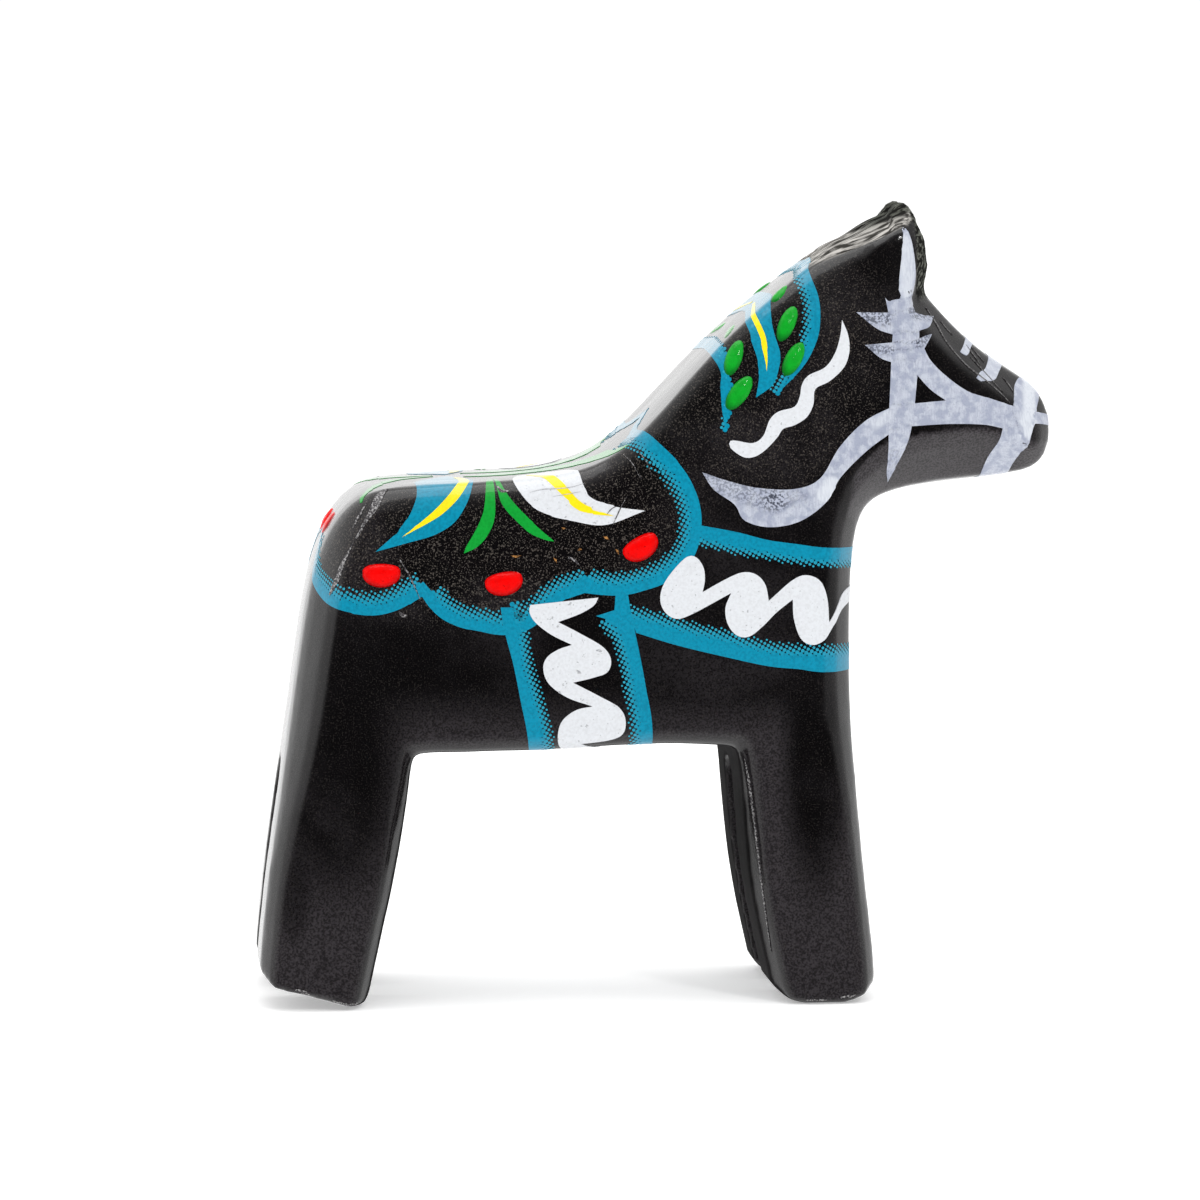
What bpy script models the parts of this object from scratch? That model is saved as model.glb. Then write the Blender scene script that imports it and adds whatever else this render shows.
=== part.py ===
"""Dala horse: one carved and lacquered wooden body, and its painted decoration as thin films.

The horse stands on z = 0 and looks along +X. Its right side faces -Y and its left side mirrors it.
Plane shapes are given as (x, z) in millimetres on the flat side of the horse. A shape that runs past
the horse's outline goes on round the rounded edge, as if the skin had been unrolled.
"""

import math

import bmesh
import bpy
import numpy as np
from mathutils import Vector
from mathutils.bvhtree import BVHTree
from mathutils.geometry import delaunay_2d_cdt

MM = 0.001
EAR_TIP_HEIGHT = 70.3
BODY_HALF_WIDTH = 11.5
SLOT_HALF_WIDTH = 2.4
SLOT_TOP = 19.0
SLOT_TOP_RISE = 0.8
SLOT_TOP_STEPS = 6
EAR_NOTCH_HALF_WIDTH = 2.4
EAR_NOTCH_FLOOR = ((26.0, 65.0), (15.2, 66.6))
RIM_INSET = 0.1
SUBDIVISION = 2

FILM_GAP = 0.34
FILM_THICKNESS = 0.15
LAYER_STEP = 0.4
BEAD_RISE = 0.35
BEAD_SHOULDER = 0.6
BEAD_SHOULDER_RISE = 0.7
MIDDLE_GAP = 0.2
FOLD_DEPTH = 4.0
SKIN_STEP = 0.7
SKIN_RAYS = 25
OUTLINE_STEP = 1.6
GRID_STEP = 1.3
FLAT_GRID_STRIDE = 3

# How the edge is carved in each zone: the rim's share of the side's half-width, the bevel in
# millimetres, and the creases along the rim and along the bevel's inner edge.
ZONES = {
    "rear": (0.60, 2.6, 0.4, 0.4),
    "back": (0.80, 2.0, 0.7, 0.2),
    "crest": (0.82, 1.5, 0.7, 0.2),
    "ear": (0.55, 2.2, 0.7, 0.7),
    "forehead": (0.85, 0.8, 0.6, 0.3),
    "nose": (0.50, 2.7, 0.6, 0.9),
    "muzzle": (0.66, 1.6, 0.6, 0.4),
    "jaw": (0.45, 4.9, 0.7, 0.8),
    "chest": (0.66, 2.4, 0.6, 0.4),
    "leg": (0.78, 1.4, 0.6, 0.5),
    "belly": (0.85, 1.5, 0.8, 0.3),
}

# The outline of the sawn blank, from the heel round over the back and the head: name, x, z, zone.
OUTLINE = [
    ("heel", -36.0, -5.0, "leg"),
    ("heel_top", -35.2, 5.0, "leg"),
    ("hock", -34.1, 14.5, "leg"),
    ("gaskin", -32.7, 24.0, "rear"),
    ("buttock", -31.4, 33.5, "rear"),
    ("rump", -29.7, 40.6, "rear"),
    ("rump_top", -26.4, 44.9, "back"),
    ("loin", -21.5, 45.8, "back"),
    ("saddle_rear", -15.0, 46.2, "back"),
    ("saddle", -8.5, 46.8, "back"),
    ("withers", -3.5, 48.8, "back"),
    ("crest_foot", 1.0, 53.3, "crest"),
    ("crest_low", 6.1, 58.7, "crest"),
    ("crest_high", 11.2, 62.9, "crest"),
    ("poll", 16.2, 66.9, "ear"),
    ("ear_back", 19.6, 69.0, "ear"),
    ("ear_tip", 22.6, EAR_TIP_HEIGHT, "ear"),
    ("forehead", 24.1, 66.3, "forehead"),
    ("brow", 24.1, 62.2, "nose"),
    ("nose_high", 27.3, 58.8, "nose"),
    ("nose_mid", 30.8, 56.1, "nose"),
    ("nose_tip", 34.1, 53.9, "nose"),
    ("muzzle", 35.2, 50.8, "muzzle"),
    ("chin", 34.4, 46.9, "muzzle"),
    ("jaw_front", 30.8, 45.7, "jaw"),
    ("jaw_mid", 25.8, 45.1, "jaw"),
    ("jaw_rear", 21.4, 44.3, "jaw"),
    ("throat", 18.3, 42.9, "chest"),
    ("chest_top", 17.3, 38.5, "chest"),
    ("chest", 17.1, 32.0, "chest"),
    ("chest_low", 17.2, 25.0, "chest"),
    ("forearm", 17.7, 17.0, "leg"),
    ("knee", 18.5, 8.5, "leg"),
    ("toe_top", 19.2, 2.5, "leg"),
    ("toe", 19.0, -5.0, "leg"),
    ("fore_heel", 11.2, -5.0, "leg"),
    ("fore_heel_top", 9.4, 2.5, "leg"),
    ("knee_back", 7.8, 10.0, "leg"),
    ("forearm_back", 7.0, 18.0, "leg"),
    ("elbow", 6.2, 22.3, "belly"),
    ("belly_front", 0.0, 22.8, "belly"),
    ("belly", -7.5, 22.5, "belly"),
    ("belly_rear", -15.0, 22.2, "belly"),
    ("stifle", -21.3, 21.9, "belly"),
    ("thigh_front", -22.2, 17.0, "leg"),
    ("shin", -23.4, 10.5, "leg"),
    ("hind_toe_top", -24.8, 4.0, "leg"),
    ("hind_toe", -26.8, -5.0, "leg"),
]

SHARP = {"heel", "ear_tip", "brow", "toe", "fore_heel", "hind_toe"}
FIRM = {"elbow", "stifle"}
FIRM_CREASE = 0.6

# How far the subdivision pulls a curve inside its cage, as a share of the bend at each point.
SMOOTH_PULL = 1.0 / 3.0
FIRM_PULL = 0.12
MITRE_LIMIT = 0.6

# Lengths that reach clear of the body, for the cutters.
BELOW_SOLES = -9.0
PAST_BODY = 15.0
PAST_HORSE = 45.0
ABOVE_EARS = 73.0

# Below this line the soles are cut away: raised at the heels, and rounded at the toes.
SOLE_LINE = [(-45.0, 9.0), (-35.2, 3.4), (-34.0, 2.1), (-31.3, 1.3), (-26.5, 0.0), (-25.5, 0.6),
             (-24.6, 2.4), (8.6, 3.4), (9.8, 1.4), (11.2, 0.3), (12.6, 0.0), (16.2, 0.0), (18.0, 0.6),
             (18.9, 1.6), (20.0, 4.5)]

# The flat side, as facets between points of the outline.
SIDE_FACETS = [
    ("heel", "heel_top", "hind_toe_top", "hind_toe"),
    ("heel_top", "hock", "shin", "hind_toe_top"),
    ("hock", "gaskin", "thigh_front", "shin"),
    ("gaskin", "buttock", "stifle", "thigh_front"),
    ("buttock", "rump", "rump_top", "loin", "stifle"),
    ("loin", "saddle_rear", "belly_rear", "stifle"),
    ("saddle_rear", "saddle", "belly", "belly_rear"),
    ("saddle", "withers", "belly_front", "belly"),
    ("withers", "chest_low", "elbow", "belly_front"),
    ("chest_low", "forearm", "forearm_back", "elbow"),
    ("forearm", "knee", "knee_back", "forearm_back"),
    ("knee", "toe_top", "fore_heel_top", "knee_back"),
    ("toe_top", "toe", "fore_heel", "fore_heel_top"),
    ("withers", "crest_foot", "chest", "chest_low"),
    ("crest_foot", "crest_low", "chest_top", "chest"),
    ("crest_low", "crest_high", "throat", "chest_top"),
    ("crest_high", "poll", "jaw_rear", "throat"),
    ("poll", "ear_back", "ear_tip", "forehead"),
    ("poll", "forehead", "brow", "jaw_mid", "jaw_rear"),
    ("brow", "nose_high", "nose_mid", "jaw_front", "jaw_mid"),
    ("nose_mid", "nose_tip", "muzzle", "chin", "jaw_front"),
]


def side_half_width(x, z):
    """The flat side narrows evenly from the shoulder to the head, and a little more at the muzzle."""
    along_neck = 0.6 * x + 0.8 * (z - 44.0)
    neck_taper = 0.2 * min(max(along_neck - 5.0, 0.0), 26.0)
    muzzle_taper = 0.09 * max(x - 24.0, 0.0)
    return BODY_HALF_WIDTH - neck_taper - muzzle_taper


# ---------------------------------------------------------------- body


def make_material(name, color, roughness, metallic=0.0):
    material = bpy.data.materials.new(name)
    material.use_nodes = True
    shader = material.node_tree.nodes["Principled BSDF"]
    shader.inputs["Base Color"].default_value = (*color, 1.0)
    shader.inputs["Roughness"].default_value = roughness
    shader.inputs["Metallic"].default_value = metallic
    material.diffuse_color = (*color, 1.0)
    return material


def make_object(name, vertices, faces, material=None):
    """A mesh object from vertices in millimetres."""
    mesh = bpy.data.meshes.new(name)
    mesh.from_pydata([Vector(v) * MM for v in vertices], [], faces)
    mesh.update()
    thing = bpy.data.objects.new(name, mesh)
    bpy.context.scene.collection.objects.link(thing)
    if material:
        mesh.materials.append(material)
    return thing


def make_cutter(name, vertices, faces):
    cutter = make_object(name, vertices, faces)
    close_and_face_out(cutter.data)
    cutter.hide_render = True
    cutter.display_type = "WIRE"
    return cutter


def prism(profile, place, low, high):
    """Vertices and faces of a plane polygon swept from low to high. place(u, v, station) gives a vertex."""
    count = len(profile)
    vertices = [place(u, v, station) for station in (low, high) for u, v in profile]
    faces = [list(range(count)), list(range(count, 2 * count))]
    for i in range(count):
        j = (i + 1) % count
        faces.append([i, j, count + j, count + i])
    return vertices, faces


def close_and_face_out(mesh):
    shape = bmesh.new()
    shape.from_mesh(mesh)
    bmesh.ops.recalc_face_normals(shape, faces=shape.faces)
    shape.to_mesh(mesh)
    shape.free()


def inward_normal(previous, current, following):
    """The mitred normal at a corner of the outline, which runs clockwise seen from -Y."""
    first = (current - previous).normalized()
    second = (following - current).normalized()
    first_normal = Vector((first.y, -first.x))
    second_normal = Vector((second.y, -second.x))
    middle = (first_normal + second_normal).normalized()
    return middle / max(middle.dot(first_normal), MITRE_LIMIT)


def cage_points():
    """Outline points pushed out by what the subdivision would take off a smooth curve."""
    points = [Vector((x, z)) for _, x, z, _ in OUTLINE]
    cage = []
    for i, (name, _, _, _) in enumerate(OUTLINE):
        previous = points[i - 1]
        following = points[(i + 1) % len(points)]
        bend = (previous + following) / 2.0 - points[i]
        push = 0.0 if name in SHARP else FIRM_PULL if name in FIRM else SMOOTH_PULL
        cage.append(points[i] - bend * push)
    return cage


def carved_body(material):
    """Half a cage of three rings and the side's facets, mirrored, subdivided and cut."""
    points = cage_points()
    count = len(points)
    centre, rim, side = [], [], []
    for i, (_, _, _, zone) in enumerate(OUTLINE):
        rim_share, bevel, _, _ = ZONES[zone]
        inward = inward_normal(points[i - 1], points[i], points[(i + 1) % count])
        rim_point = points[i] + inward * bevel * RIM_INSET
        side_point = points[i] + inward * bevel
        half_width = side_half_width(side_point.x, side_point.y)
        centre.append((points[i].x, 0.0, points[i].y))
        rim.append((rim_point.x, -half_width * rim_share, rim_point.y))
        side.append((side_point.x, -half_width, side_point.y))
    index = {name: i for i, (name, _, _, _) in enumerate(OUTLINE)}
    faces = []
    for i in range(count):
        j = (i + 1) % count
        faces.append([i, j, count + j, count + i])
        faces.append([count + i, count + j, 2 * count + j, 2 * count + i])
    for facet in SIDE_FACETS:
        faces.append([2 * count + index[name] for name in facet])
    body = make_object("carved_body", centre + rim + side, faces, material)
    crease_edges(body.data, count)
    add_body_modifiers(body)
    return body


def crease_edges(mesh, count):
    """Sharp outline corners are creased across the edge, and knife facets along their two edges."""
    shape = bmesh.new()
    shape.from_mesh(mesh)
    shape.verts.ensure_lookup_table()
    crease = shape.edges.layers.float.new("crease_edge")
    for i, (name, _, _, zone) in enumerate(OUTLINE):
        following = (i + 1) % count
        for ring, value in ((1, 2), (2, 3)):
            along = shape.edges.get((shape.verts[ring * count + i], shape.verts[ring * count + following]))
            along[crease] = min(ZONES[zone][value], ZONES[OUTLINE[following][3]][value])
        if name in SHARP:
            shape.edges.get((shape.verts[i], shape.verts[count + i]))[crease] = 1.0
            shape.edges.get((shape.verts[count + i], shape.verts[2 * count + i]))[crease] = 0.8
        elif name in FIRM:
            shape.edges.get((shape.verts[i], shape.verts[count + i]))[crease] = FIRM_CREASE
            shape.edges.get((shape.verts[count + i], shape.verts[2 * count + i]))[crease] = FIRM_CREASE
    bmesh.ops.recalc_face_normals(shape, faces=shape.faces)
    shape.to_mesh(mesh)
    shape.free()


def add_body_modifiers(body):
    mirror = body.modifiers.new("left_half", "MIRROR")
    mirror.use_axis = (False, True, False)
    mirror.use_clip = True
    mirror.merge_threshold = 0.0001
    smooth = body.modifiers.new("rounding", "SUBSURF")
    smooth.levels = SUBDIVISION
    smooth.render_levels = SUBDIVISION
    for cutter in (leg_slot(), ear_notch(), floor_cut()):
        cut = body.modifiers.new(cutter.name, "BOOLEAN")
        cut.operation = "DIFFERENCE"
        cut.solver = "EXACT"
        cut.object = cutter


def leg_slot():
    """The saw slot that parts the right legs from the left ones, with a round top."""
    profile = [(-SLOT_HALF_WIDTH, BELOW_SOLES), (SLOT_HALF_WIDTH, BELOW_SOLES)]
    for step in range(SLOT_TOP_STEPS + 1):
        angle = math.pi * step / SLOT_TOP_STEPS
        rise = SLOT_HALF_WIDTH * SLOT_TOP_RISE * math.sin(angle)
        profile.append((SLOT_HALF_WIDTH * math.cos(angle), SLOT_TOP + rise))
    vertices, faces = prism(profile, lambda y, z, x: (x, y, z), -PAST_HORSE, PAST_HORSE)
    return make_cutter("leg_slot_cutter", vertices, faces)


def ear_notch():
    """A V between the ears, deepest at the forehead and running out on the poll."""
    vertices = []
    for x, floor in EAR_NOTCH_FLOOR:
        vertices += [(x, 0.0, floor), (x, -EAR_NOTCH_HALF_WIDTH, ABOVE_EARS),
                     (x, EAR_NOTCH_HALF_WIDTH, ABOVE_EARS)]
    faces = [[0, 1, 2], [3, 4, 5], [0, 1, 4, 3], [1, 2, 5, 4], [2, 0, 3, 5]]
    return make_cutter("ear_notch_cutter", vertices, faces)


def floor_cut():
    """Everything below the soles."""
    profile = [(SOLE_LINE[0][0], BELOW_SOLES), *SOLE_LINE, (SOLE_LINE[-1][0], BELOW_SOLES)]
    vertices, faces = prism(profile, lambda x, z, y: (x, y, z), -PAST_BODY, PAST_BODY)
    return make_cutter("floor_cutter", vertices, faces)


# ---------------------------------------------------------------- the skin, unrolled


def curve_through(points, step):
    """A smooth open curve through the points (Catmull-Rom), with a vertex about every step."""
    knots = [np.array(p, float) for p in points]
    knots = [2 * knots[0] - knots[1]] + knots + [2 * knots[-1] - knots[-2]]
    result = [knots[1]]
    for i in range(1, len(knots) - 2):
        before, start, end, after = knots[i - 1:i + 3]
        pieces = max(1, round(float(np.linalg.norm((end - start)[:2])) / step))
        for piece in range(1, pieces + 1):
            t = piece / pieces
            square = 2 * before - 5 * start + 4 * end - after
            cube = 3 * start - before - 3 * end + after
            result.append(0.5 * (2 * start + (end - before) * t + square * t ** 2 + cube * t ** 3))
    return result


class Skin:
    """Maps a plane point (x, z) to the body's surface: straight across on the flat side, and by
    length along the surface where it rounds the edge. A skin may cover only one stretch of the outline."""

    def __init__(self, tree, first=None, last=None):
        self.tree = tree
        loop = [np.array((x, z)) for _, x, z, _ in OUTLINE]
        line = np.array(curve_through(loop + loop[:1], SKIN_STEP)[:-1])
        ahead = np.roll(line, -1, axis=0) - np.roll(line, 1, axis=0)
        ahead /= np.linalg.norm(ahead, axis=1)[:, None]
        outward = np.stack([-ahead[:, 1], ahead[:, 0]], axis=1)
        if first:
            names = [name for name, _, _, _ in OUTLINE]
            start, stop = (int(np.argmin(np.linalg.norm(line - loop[names.index(name)], axis=1)))
                           for name in (first, last))
            line, outward = line[start:stop + 1], outward[start:stop + 1]
        self.line = line
        self.outward = outward
        self.rows = [self.section(q, n) for q, n in zip(line, outward)]

    def ray(self, start, direction):
        hit = self.tree.ray_cast(Vector(start) * MM, Vector(direction))[0]
        return hit / MM if hit else None

    def section(self, edge, outward):
        """Lengths along the surface from the fold to the middle, with the offset and y at each."""
        pivot = edge - outward * FOLD_DEPTH
        offsets, depths = [], []
        for angle in np.linspace(0.0, math.pi / 2, SKIN_RAYS):
            out = Vector((outward[0] * math.sin(angle), -math.cos(angle), outward[1] * math.sin(angle)))
            start = Vector((pivot[0], 0.0, pivot[1])) + out * 40.0
            hit = self.ray(start, -out)
            if hit is None:
                continue
            offsets.append(float(np.dot([hit.x - pivot[0], hit.z - pivot[1]], outward)))
            depths.append(min(hit.y, 0.0))
        steps = np.hypot(np.diff(offsets), np.diff(depths))
        return np.concatenate([[0.0], np.cumsum(steps)]), np.array(offsets), np.array(depths)

    def nearest(self, point):
        return int(np.argmin(np.sum((self.line - point) ** 2, axis=1)))

    def depth(self, point):
        """How far a plane point lies inside the outline."""
        nearest = self.nearest(point)
        return -float(np.dot(point - self.line[nearest], self.outward[nearest]))

    def place(self, x, z):
        """The surface point, and whether the plane point lies past the middle of the horse."""
        point = np.array([x, z])
        nearest = self.nearest(point)
        depth = self.depth(point)
        if depth >= FOLD_DEPTH:
            return self.ray((x, -40.0, z), (0.0, 1.0, 0.0)), False
        ahead = (nearest + 1) % len(self.line)
        tangent = self.line[ahead] - self.line[nearest]
        share = float(np.dot(point - self.line[nearest], tangent) / np.dot(tangent, tangent))
        if share < 0.0:
            ahead = nearest - 1
            tangent = self.line[ahead] - self.line[nearest]
            share = float(np.dot(point - self.line[nearest], tangent) / np.dot(tangent, tangent))
        share = min(max(share, 0.0), 1.0)
        along = FOLD_DEPTH - depth
        total = np.zeros(3)
        past = True
        for row, weight in ((nearest, 1.0 - share), (ahead, share)):
            lengths, offsets, depths = self.rows[row]
            offset = np.interp(along, lengths, offsets) - FOLD_DEPTH
            plane = self.line[row] + self.outward[row] * offset
            total += weight * np.array([plane[0], np.interp(along, lengths, depths), plane[1]])
            past = past and along >= lengths[-1]
        if past:
            total[1] = 0.0
        return Vector(total), past


# ---------------------------------------------------------------- plane shapes


def outline(*runs):
    """A closed shape from smooth runs that meet at sharp corners."""
    shape = []
    for run in runs:
        shape.extend(curve_through(run, OUTLINE_STEP)[:-1])
    return shape


def brush(stroke):
    """A brush stroke from (x, z, width) points. It comes to a point where its width is 0."""
    spine = curve_through(stroke, OUTLINE_STEP)
    left, right = [], []
    for i, point in enumerate(spine):
        ahead = spine[min(i + 1, len(spine) - 1)][:2] - spine[max(i - 1, 0)][:2]
        ahead = ahead / np.linalg.norm(ahead)
        across = np.array([-ahead[1], ahead[0]]) * max(point[2], 0.0) / 2.0
        left.append(point[:2] + across)
        if point[2] > 0.01:
            right.append(point[:2] - across)
    return right + left[::-1]


def oval(x, z, length, width, lean, flat_top=1.0, sides=12):
    """An ellipse whose long axis leans clockwise from vertical, or a bean if its top is flattened."""
    lean = math.radians(lean)
    shape = []
    for i in range(sides):
        angle = 2 * math.pi * i / sides
        across = width / 2 * math.cos(angle)
        along = length / 2 * math.sin(angle)
        if along > 0.0:
            along *= flat_top
        shape.append(np.array([x + across * math.cos(lean) + along * math.sin(lean),
                               z - across * math.sin(lean) + along * math.cos(lean)]))
    return shape


def band(edge, width):
    """A band along the left hand of its edge."""
    points = curve_through(edge, OUTLINE_STEP)
    inner = []
    for i, point in enumerate(points):
        ahead = points[min(i + 1, len(points) - 1)] - points[max(i - 1, 0)]
        ahead = ahead / np.linalg.norm(ahead)
        inner.append(point + np.array([-ahead[1], ahead[0]]) * width)
    return points + inner[::-1]


# ---------------------------------------------------------------- decoration, in plane millimetres

# Far enough out in the plane to lie past the middle of the chest.
PAST_CHEST = 28.0


def saddle_border():
    front = [(-6.9, 36.6), (-4.2, 36.1), (-1.6, 36.6), (0.9, 37.7), (2.5, 39.2), (3.3, 41.4), (3.2, 43.9),
             (2.1, 46.4), (0.9, 48.2), (-0.8, 49.8), (-2.9, 51.7), (-5.6, 54.2)]
    middle = [(-21.0, 36.2), (-18.9, 34.2), (-16.6, 33.2), (-13.9, 32.8), (-10.8, 33.9), (-6.9, 36.6)]
    rear = [(-37.9, 45.8), (-36.3, 44.3), (-34.9, 41.8), (-33.8, 39.2), (-32.1, 37.2), (-29.5, 35.7),
            (-27.2, 35.0), (-24.4, 34.6), (-21.0, 36.2)]
    cusps = [oval(-7.1, 37.6, 2.0, 2.0, 0.0), oval(-21.0, 37.2, 2.0, 2.0, 0.0)]
    return [band(lobe, 2.0) for lobe in (front, middle, rear)] + cusps


def girth_rear_band():
    return [outline([(-13.7, 32.2), (-13.2, 30.2), (-12.5, 27.3), (-11.8, 22.8), (-11.2, 17.5)],
                    [(-11.2, 17.5), (-9.2, 17.5)],
                    [(-9.2, 17.5), (-9.6, 22.8), (-10.7, 27.3), (-11.7, 32.2)],
                    [(-11.7, 32.2), (-13.7, 32.2)])]


def girth_front_band():
    return [outline([(-3.2, 35.5), (-2.8, 34.4), (-2.2, 31.2), (-1.5, 28.0), (-0.9, 23.4), (-0.6, 17.5)],
                    [(-0.6, 17.5), (-2.8, 17.5)],
                    [(-2.8, 17.5), (-3.0, 22.8), (-3.8, 28.0), (-4.6, 33.3)],
                    [(-4.6, 33.3), (-5.8, 34.4)],
                    [(-5.8, 34.4), (-4.4, 35.5)],
                    [(-4.4, 35.5), (-3.2, 35.5)])]


def girth_squiggle():
    return [outline([(-5.7, 36.0), (-6.5, 35.0), (-9.3, 34.0)],
                    [(-9.3, 34.0), (-7.4, 32.9), (-5.2, 31.6), (-4.9, 30.0), (-8.0, 28.7)],
                    [(-8.0, 28.7), (-5.9, 27.6), (-3.8, 26.2), (-3.9, 24.8), (-7.1, 23.3)],
                    [(-7.1, 23.3), (-5.6, 21.2), (-6.2, 20.2)],
                    [(-6.2, 20.2), (-8.2, 22.2), (-9.5, 24.0), (-9.0, 25.6), (-6.3, 26.6)],
                    [(-6.3, 26.6), (-8.8, 27.6), (-10.5, 29.2), (-10.0, 31.0), (-8.0, 31.9)],
                    [(-8.0, 31.9), (-10.3, 33.0), (-11.6, 34.4), (-11.6, 35.4)],
                    [(-11.6, 35.4), (-5.7, 36.0)])]


def breast_upper_band():
    return [outline([(3.7, 42.1), (9.1, 40.9), (13.8, 39.8), (18.0, 39.3)],
                    [(18.0, 39.3), (PAST_CHEST, 39.3)],
                    [(PAST_CHEST, 39.3), (PAST_CHEST, 37.7)],
                    [(PAST_CHEST, 37.7), (18.0, 37.7)],
                    [(18.0, 37.7), (13.8, 38.1), (9.1, 39.1), (3.7, 40.4)],
                    [(3.7, 40.4), (3.7, 42.1)])]


def breast_lower_band():
    return [outline([(-1.9, 34.8), (2.5, 33.7), (7.8, 32.3), (13.9, 31.4), (18.0, 31.2)],
                    [(18.0, 31.2), (PAST_CHEST, 31.2)],
                    [(PAST_CHEST, 31.2), (PAST_CHEST, 29.5)],
                    [(PAST_CHEST, 29.5), (16.0, 29.5)],
                    [(16.0, 29.5), (9.2, 29.9), (3.1, 31.3), (-1.6, 32.6)],
                    [(-1.6, 32.6), (-1.9, 34.8)])]


def breast_squiggle():
    """Three loops on each side, and a last one that runs out in a line across the chest."""
    return [outline([(3.5, 36.4), (3.6, 38.2), (2.3, 39.5), (0.6, 38.0), (-0.3, 36.0), (1.2, 34.1),
                     (5.9, 36.3)],
                    [(5.9, 36.3), (5.6, 34.0), (7.0, 32.5), (8.8, 33.4), (11.4, 35.7)],
                    [(11.4, 35.7), (11.8, 32.6), (13.1, 31.7), (14.5, 32.8), (16.2, 35.4), (18.5, 36.3)],
                    [(18.5, 36.3), (PAST_CHEST, 36.3)],
                    [(PAST_CHEST, 36.3), (PAST_CHEST, 37.5)],
                    [(PAST_CHEST, 37.5), (18.5, 37.5)],
                    [(18.5, 37.5), (16.2, 36.9), (14.5, 34.2)],
                    [(14.5, 34.2), (14.1, 36.4), (12.5, 37.7), (10.2, 36.5), (9.2, 35.6)],
                    [(9.2, 35.6), (8.7, 37.3), (7.3, 38.1), (5.7, 37.6), (3.5, 36.4)])]


def blue_leaf():
    return [outline([(-25.1, 40.0), (-22.5, 40.7), (-19.6, 41.6), (-17.4, 43.3), (-16.3, 46.6), (-17.6, 50.5),
                     (-20.0, 52.6)],
                    [(-20.0, 52.6), (-21.4, 48.5), (-21.9, 44.6), (-25.1, 40.0)])]


def blue_leaf_vein():
    return [brush([(-17.8, 49.5, 0.3), (-17.1, 47.0, 0.9), (-17.8, 45.1, 0.85), (-19.4, 43.4, 0.7),
                   (-22.8, 41.3, 0.0)])]


def green_leaf_rear():
    return [brush([(-15.0, 46.6, 0.3), (-15.1, 44.2, 0.9), (-15.9, 41.8, 0.8), (-17.3, 39.9, 0.0)])]


def green_leaf_front():
    return [brush([(-14.4, 46.4, 0.3), (-13.5, 44.3, 0.8), (-12.1, 42.6, 1.0), (-9.5, 40.9, 0.0)])]


def white_leaf():
    return [outline([(-1.6, 43.6), (-4.9, 44.5), (-7.2, 46.6), (-8.6, 49.2), (-11.6, 49.2), (-13.3, 47.0),
                     (-12.0, 44.5), (-8.5, 42.6), (-5.0, 42.4), (-1.6, 43.6)])]


def white_leaf_vein():
    return [brush([(-12.2, 47.9, 0.5), (-10.4, 46.7, 0.9), (-8.4, 44.8, 0.9), (-6.5, 43.6, 0.6),
                   (-4.4, 43.0, 0.0)])]


def spine_stroke():
    return [brush([(-16.8, 51.6, 0.5), (-14.0, 51.2, 1.8), (-10.5, 51.3, 2.0), (-8.4, 51.5, 1.0),
                   (-7.6, 51.6, 0.0)])]


def mane_front_blade():
    return [outline([(8.3, 69.9), (11.3, 66.8), (13.3, 63.8), (13.8, 60.2), (13.2, 57.2), (10.3, 53.7)],
                    [(10.3, 53.7), (11.9, 56.3), (12.3, 59.4), (12.0, 62.4), (10.4, 65.6), (7.2, 68.9)],
                    [(7.2, 68.9), (8.3, 69.9)])]


def mane_rear_blade():
    return [outline([(5.7, 50.9), (5.3, 54.1), (4.2, 57.2), (1.5, 60.4)],
                    [(1.5, 60.4), (2.8, 61.7)],
                    [(2.8, 61.7), (5.2, 57.9), (6.0, 54.6), (5.7, 50.9)])]


def mane_stem():
    return [outline([(8.1, 53.4), (8.5, 55.8), (7.5, 58.8), (4.2, 63.6)],
                    [(4.2, 63.6), (6.0, 65.4)],
                    [(6.0, 65.4), (9.4, 61.4), (10.4, 57.1), (9.9, 54.5), (8.1, 53.4)])]


def mane_stem_vein():
    return [brush([(6.2, 63.8, 0.4), (8.0, 61.0, 0.6), (9.0, 57.9, 0.6), (9.2, 55.6, 0.0)])]


def mane_curl():
    return [outline([(6.2, 49.6), (6.6, 48.4), (8.2, 48.1), (10.3, 50.0), (12.7, 51.3), (13.8, 54.0),
                     (15.9, 55.8), (16.5, 57.8), (15.8, 59.9)],
                    [(15.8, 59.9), (15.4, 57.4), (13.6, 55.4), (12.3, 54.2), (11.4, 52.3), (9.6, 51.3),
                     (8.3, 49.4), (6.2, 49.6)])]


def rein_stroke():
    return [outline([(3.6, 46.4), (6.6, 44.0), (9.8, 42.0), (13.8, 43.4), (16.0, 46.2), (19.9, 49.8)],
                    [(19.9, 49.8), (19.9, 51.9)],
                    [(19.9, 51.9), (16.6, 49.8), (14.0, 46.3), (11.0, 45.1), (7.2, 45.6), (3.6, 46.4)])]


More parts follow.
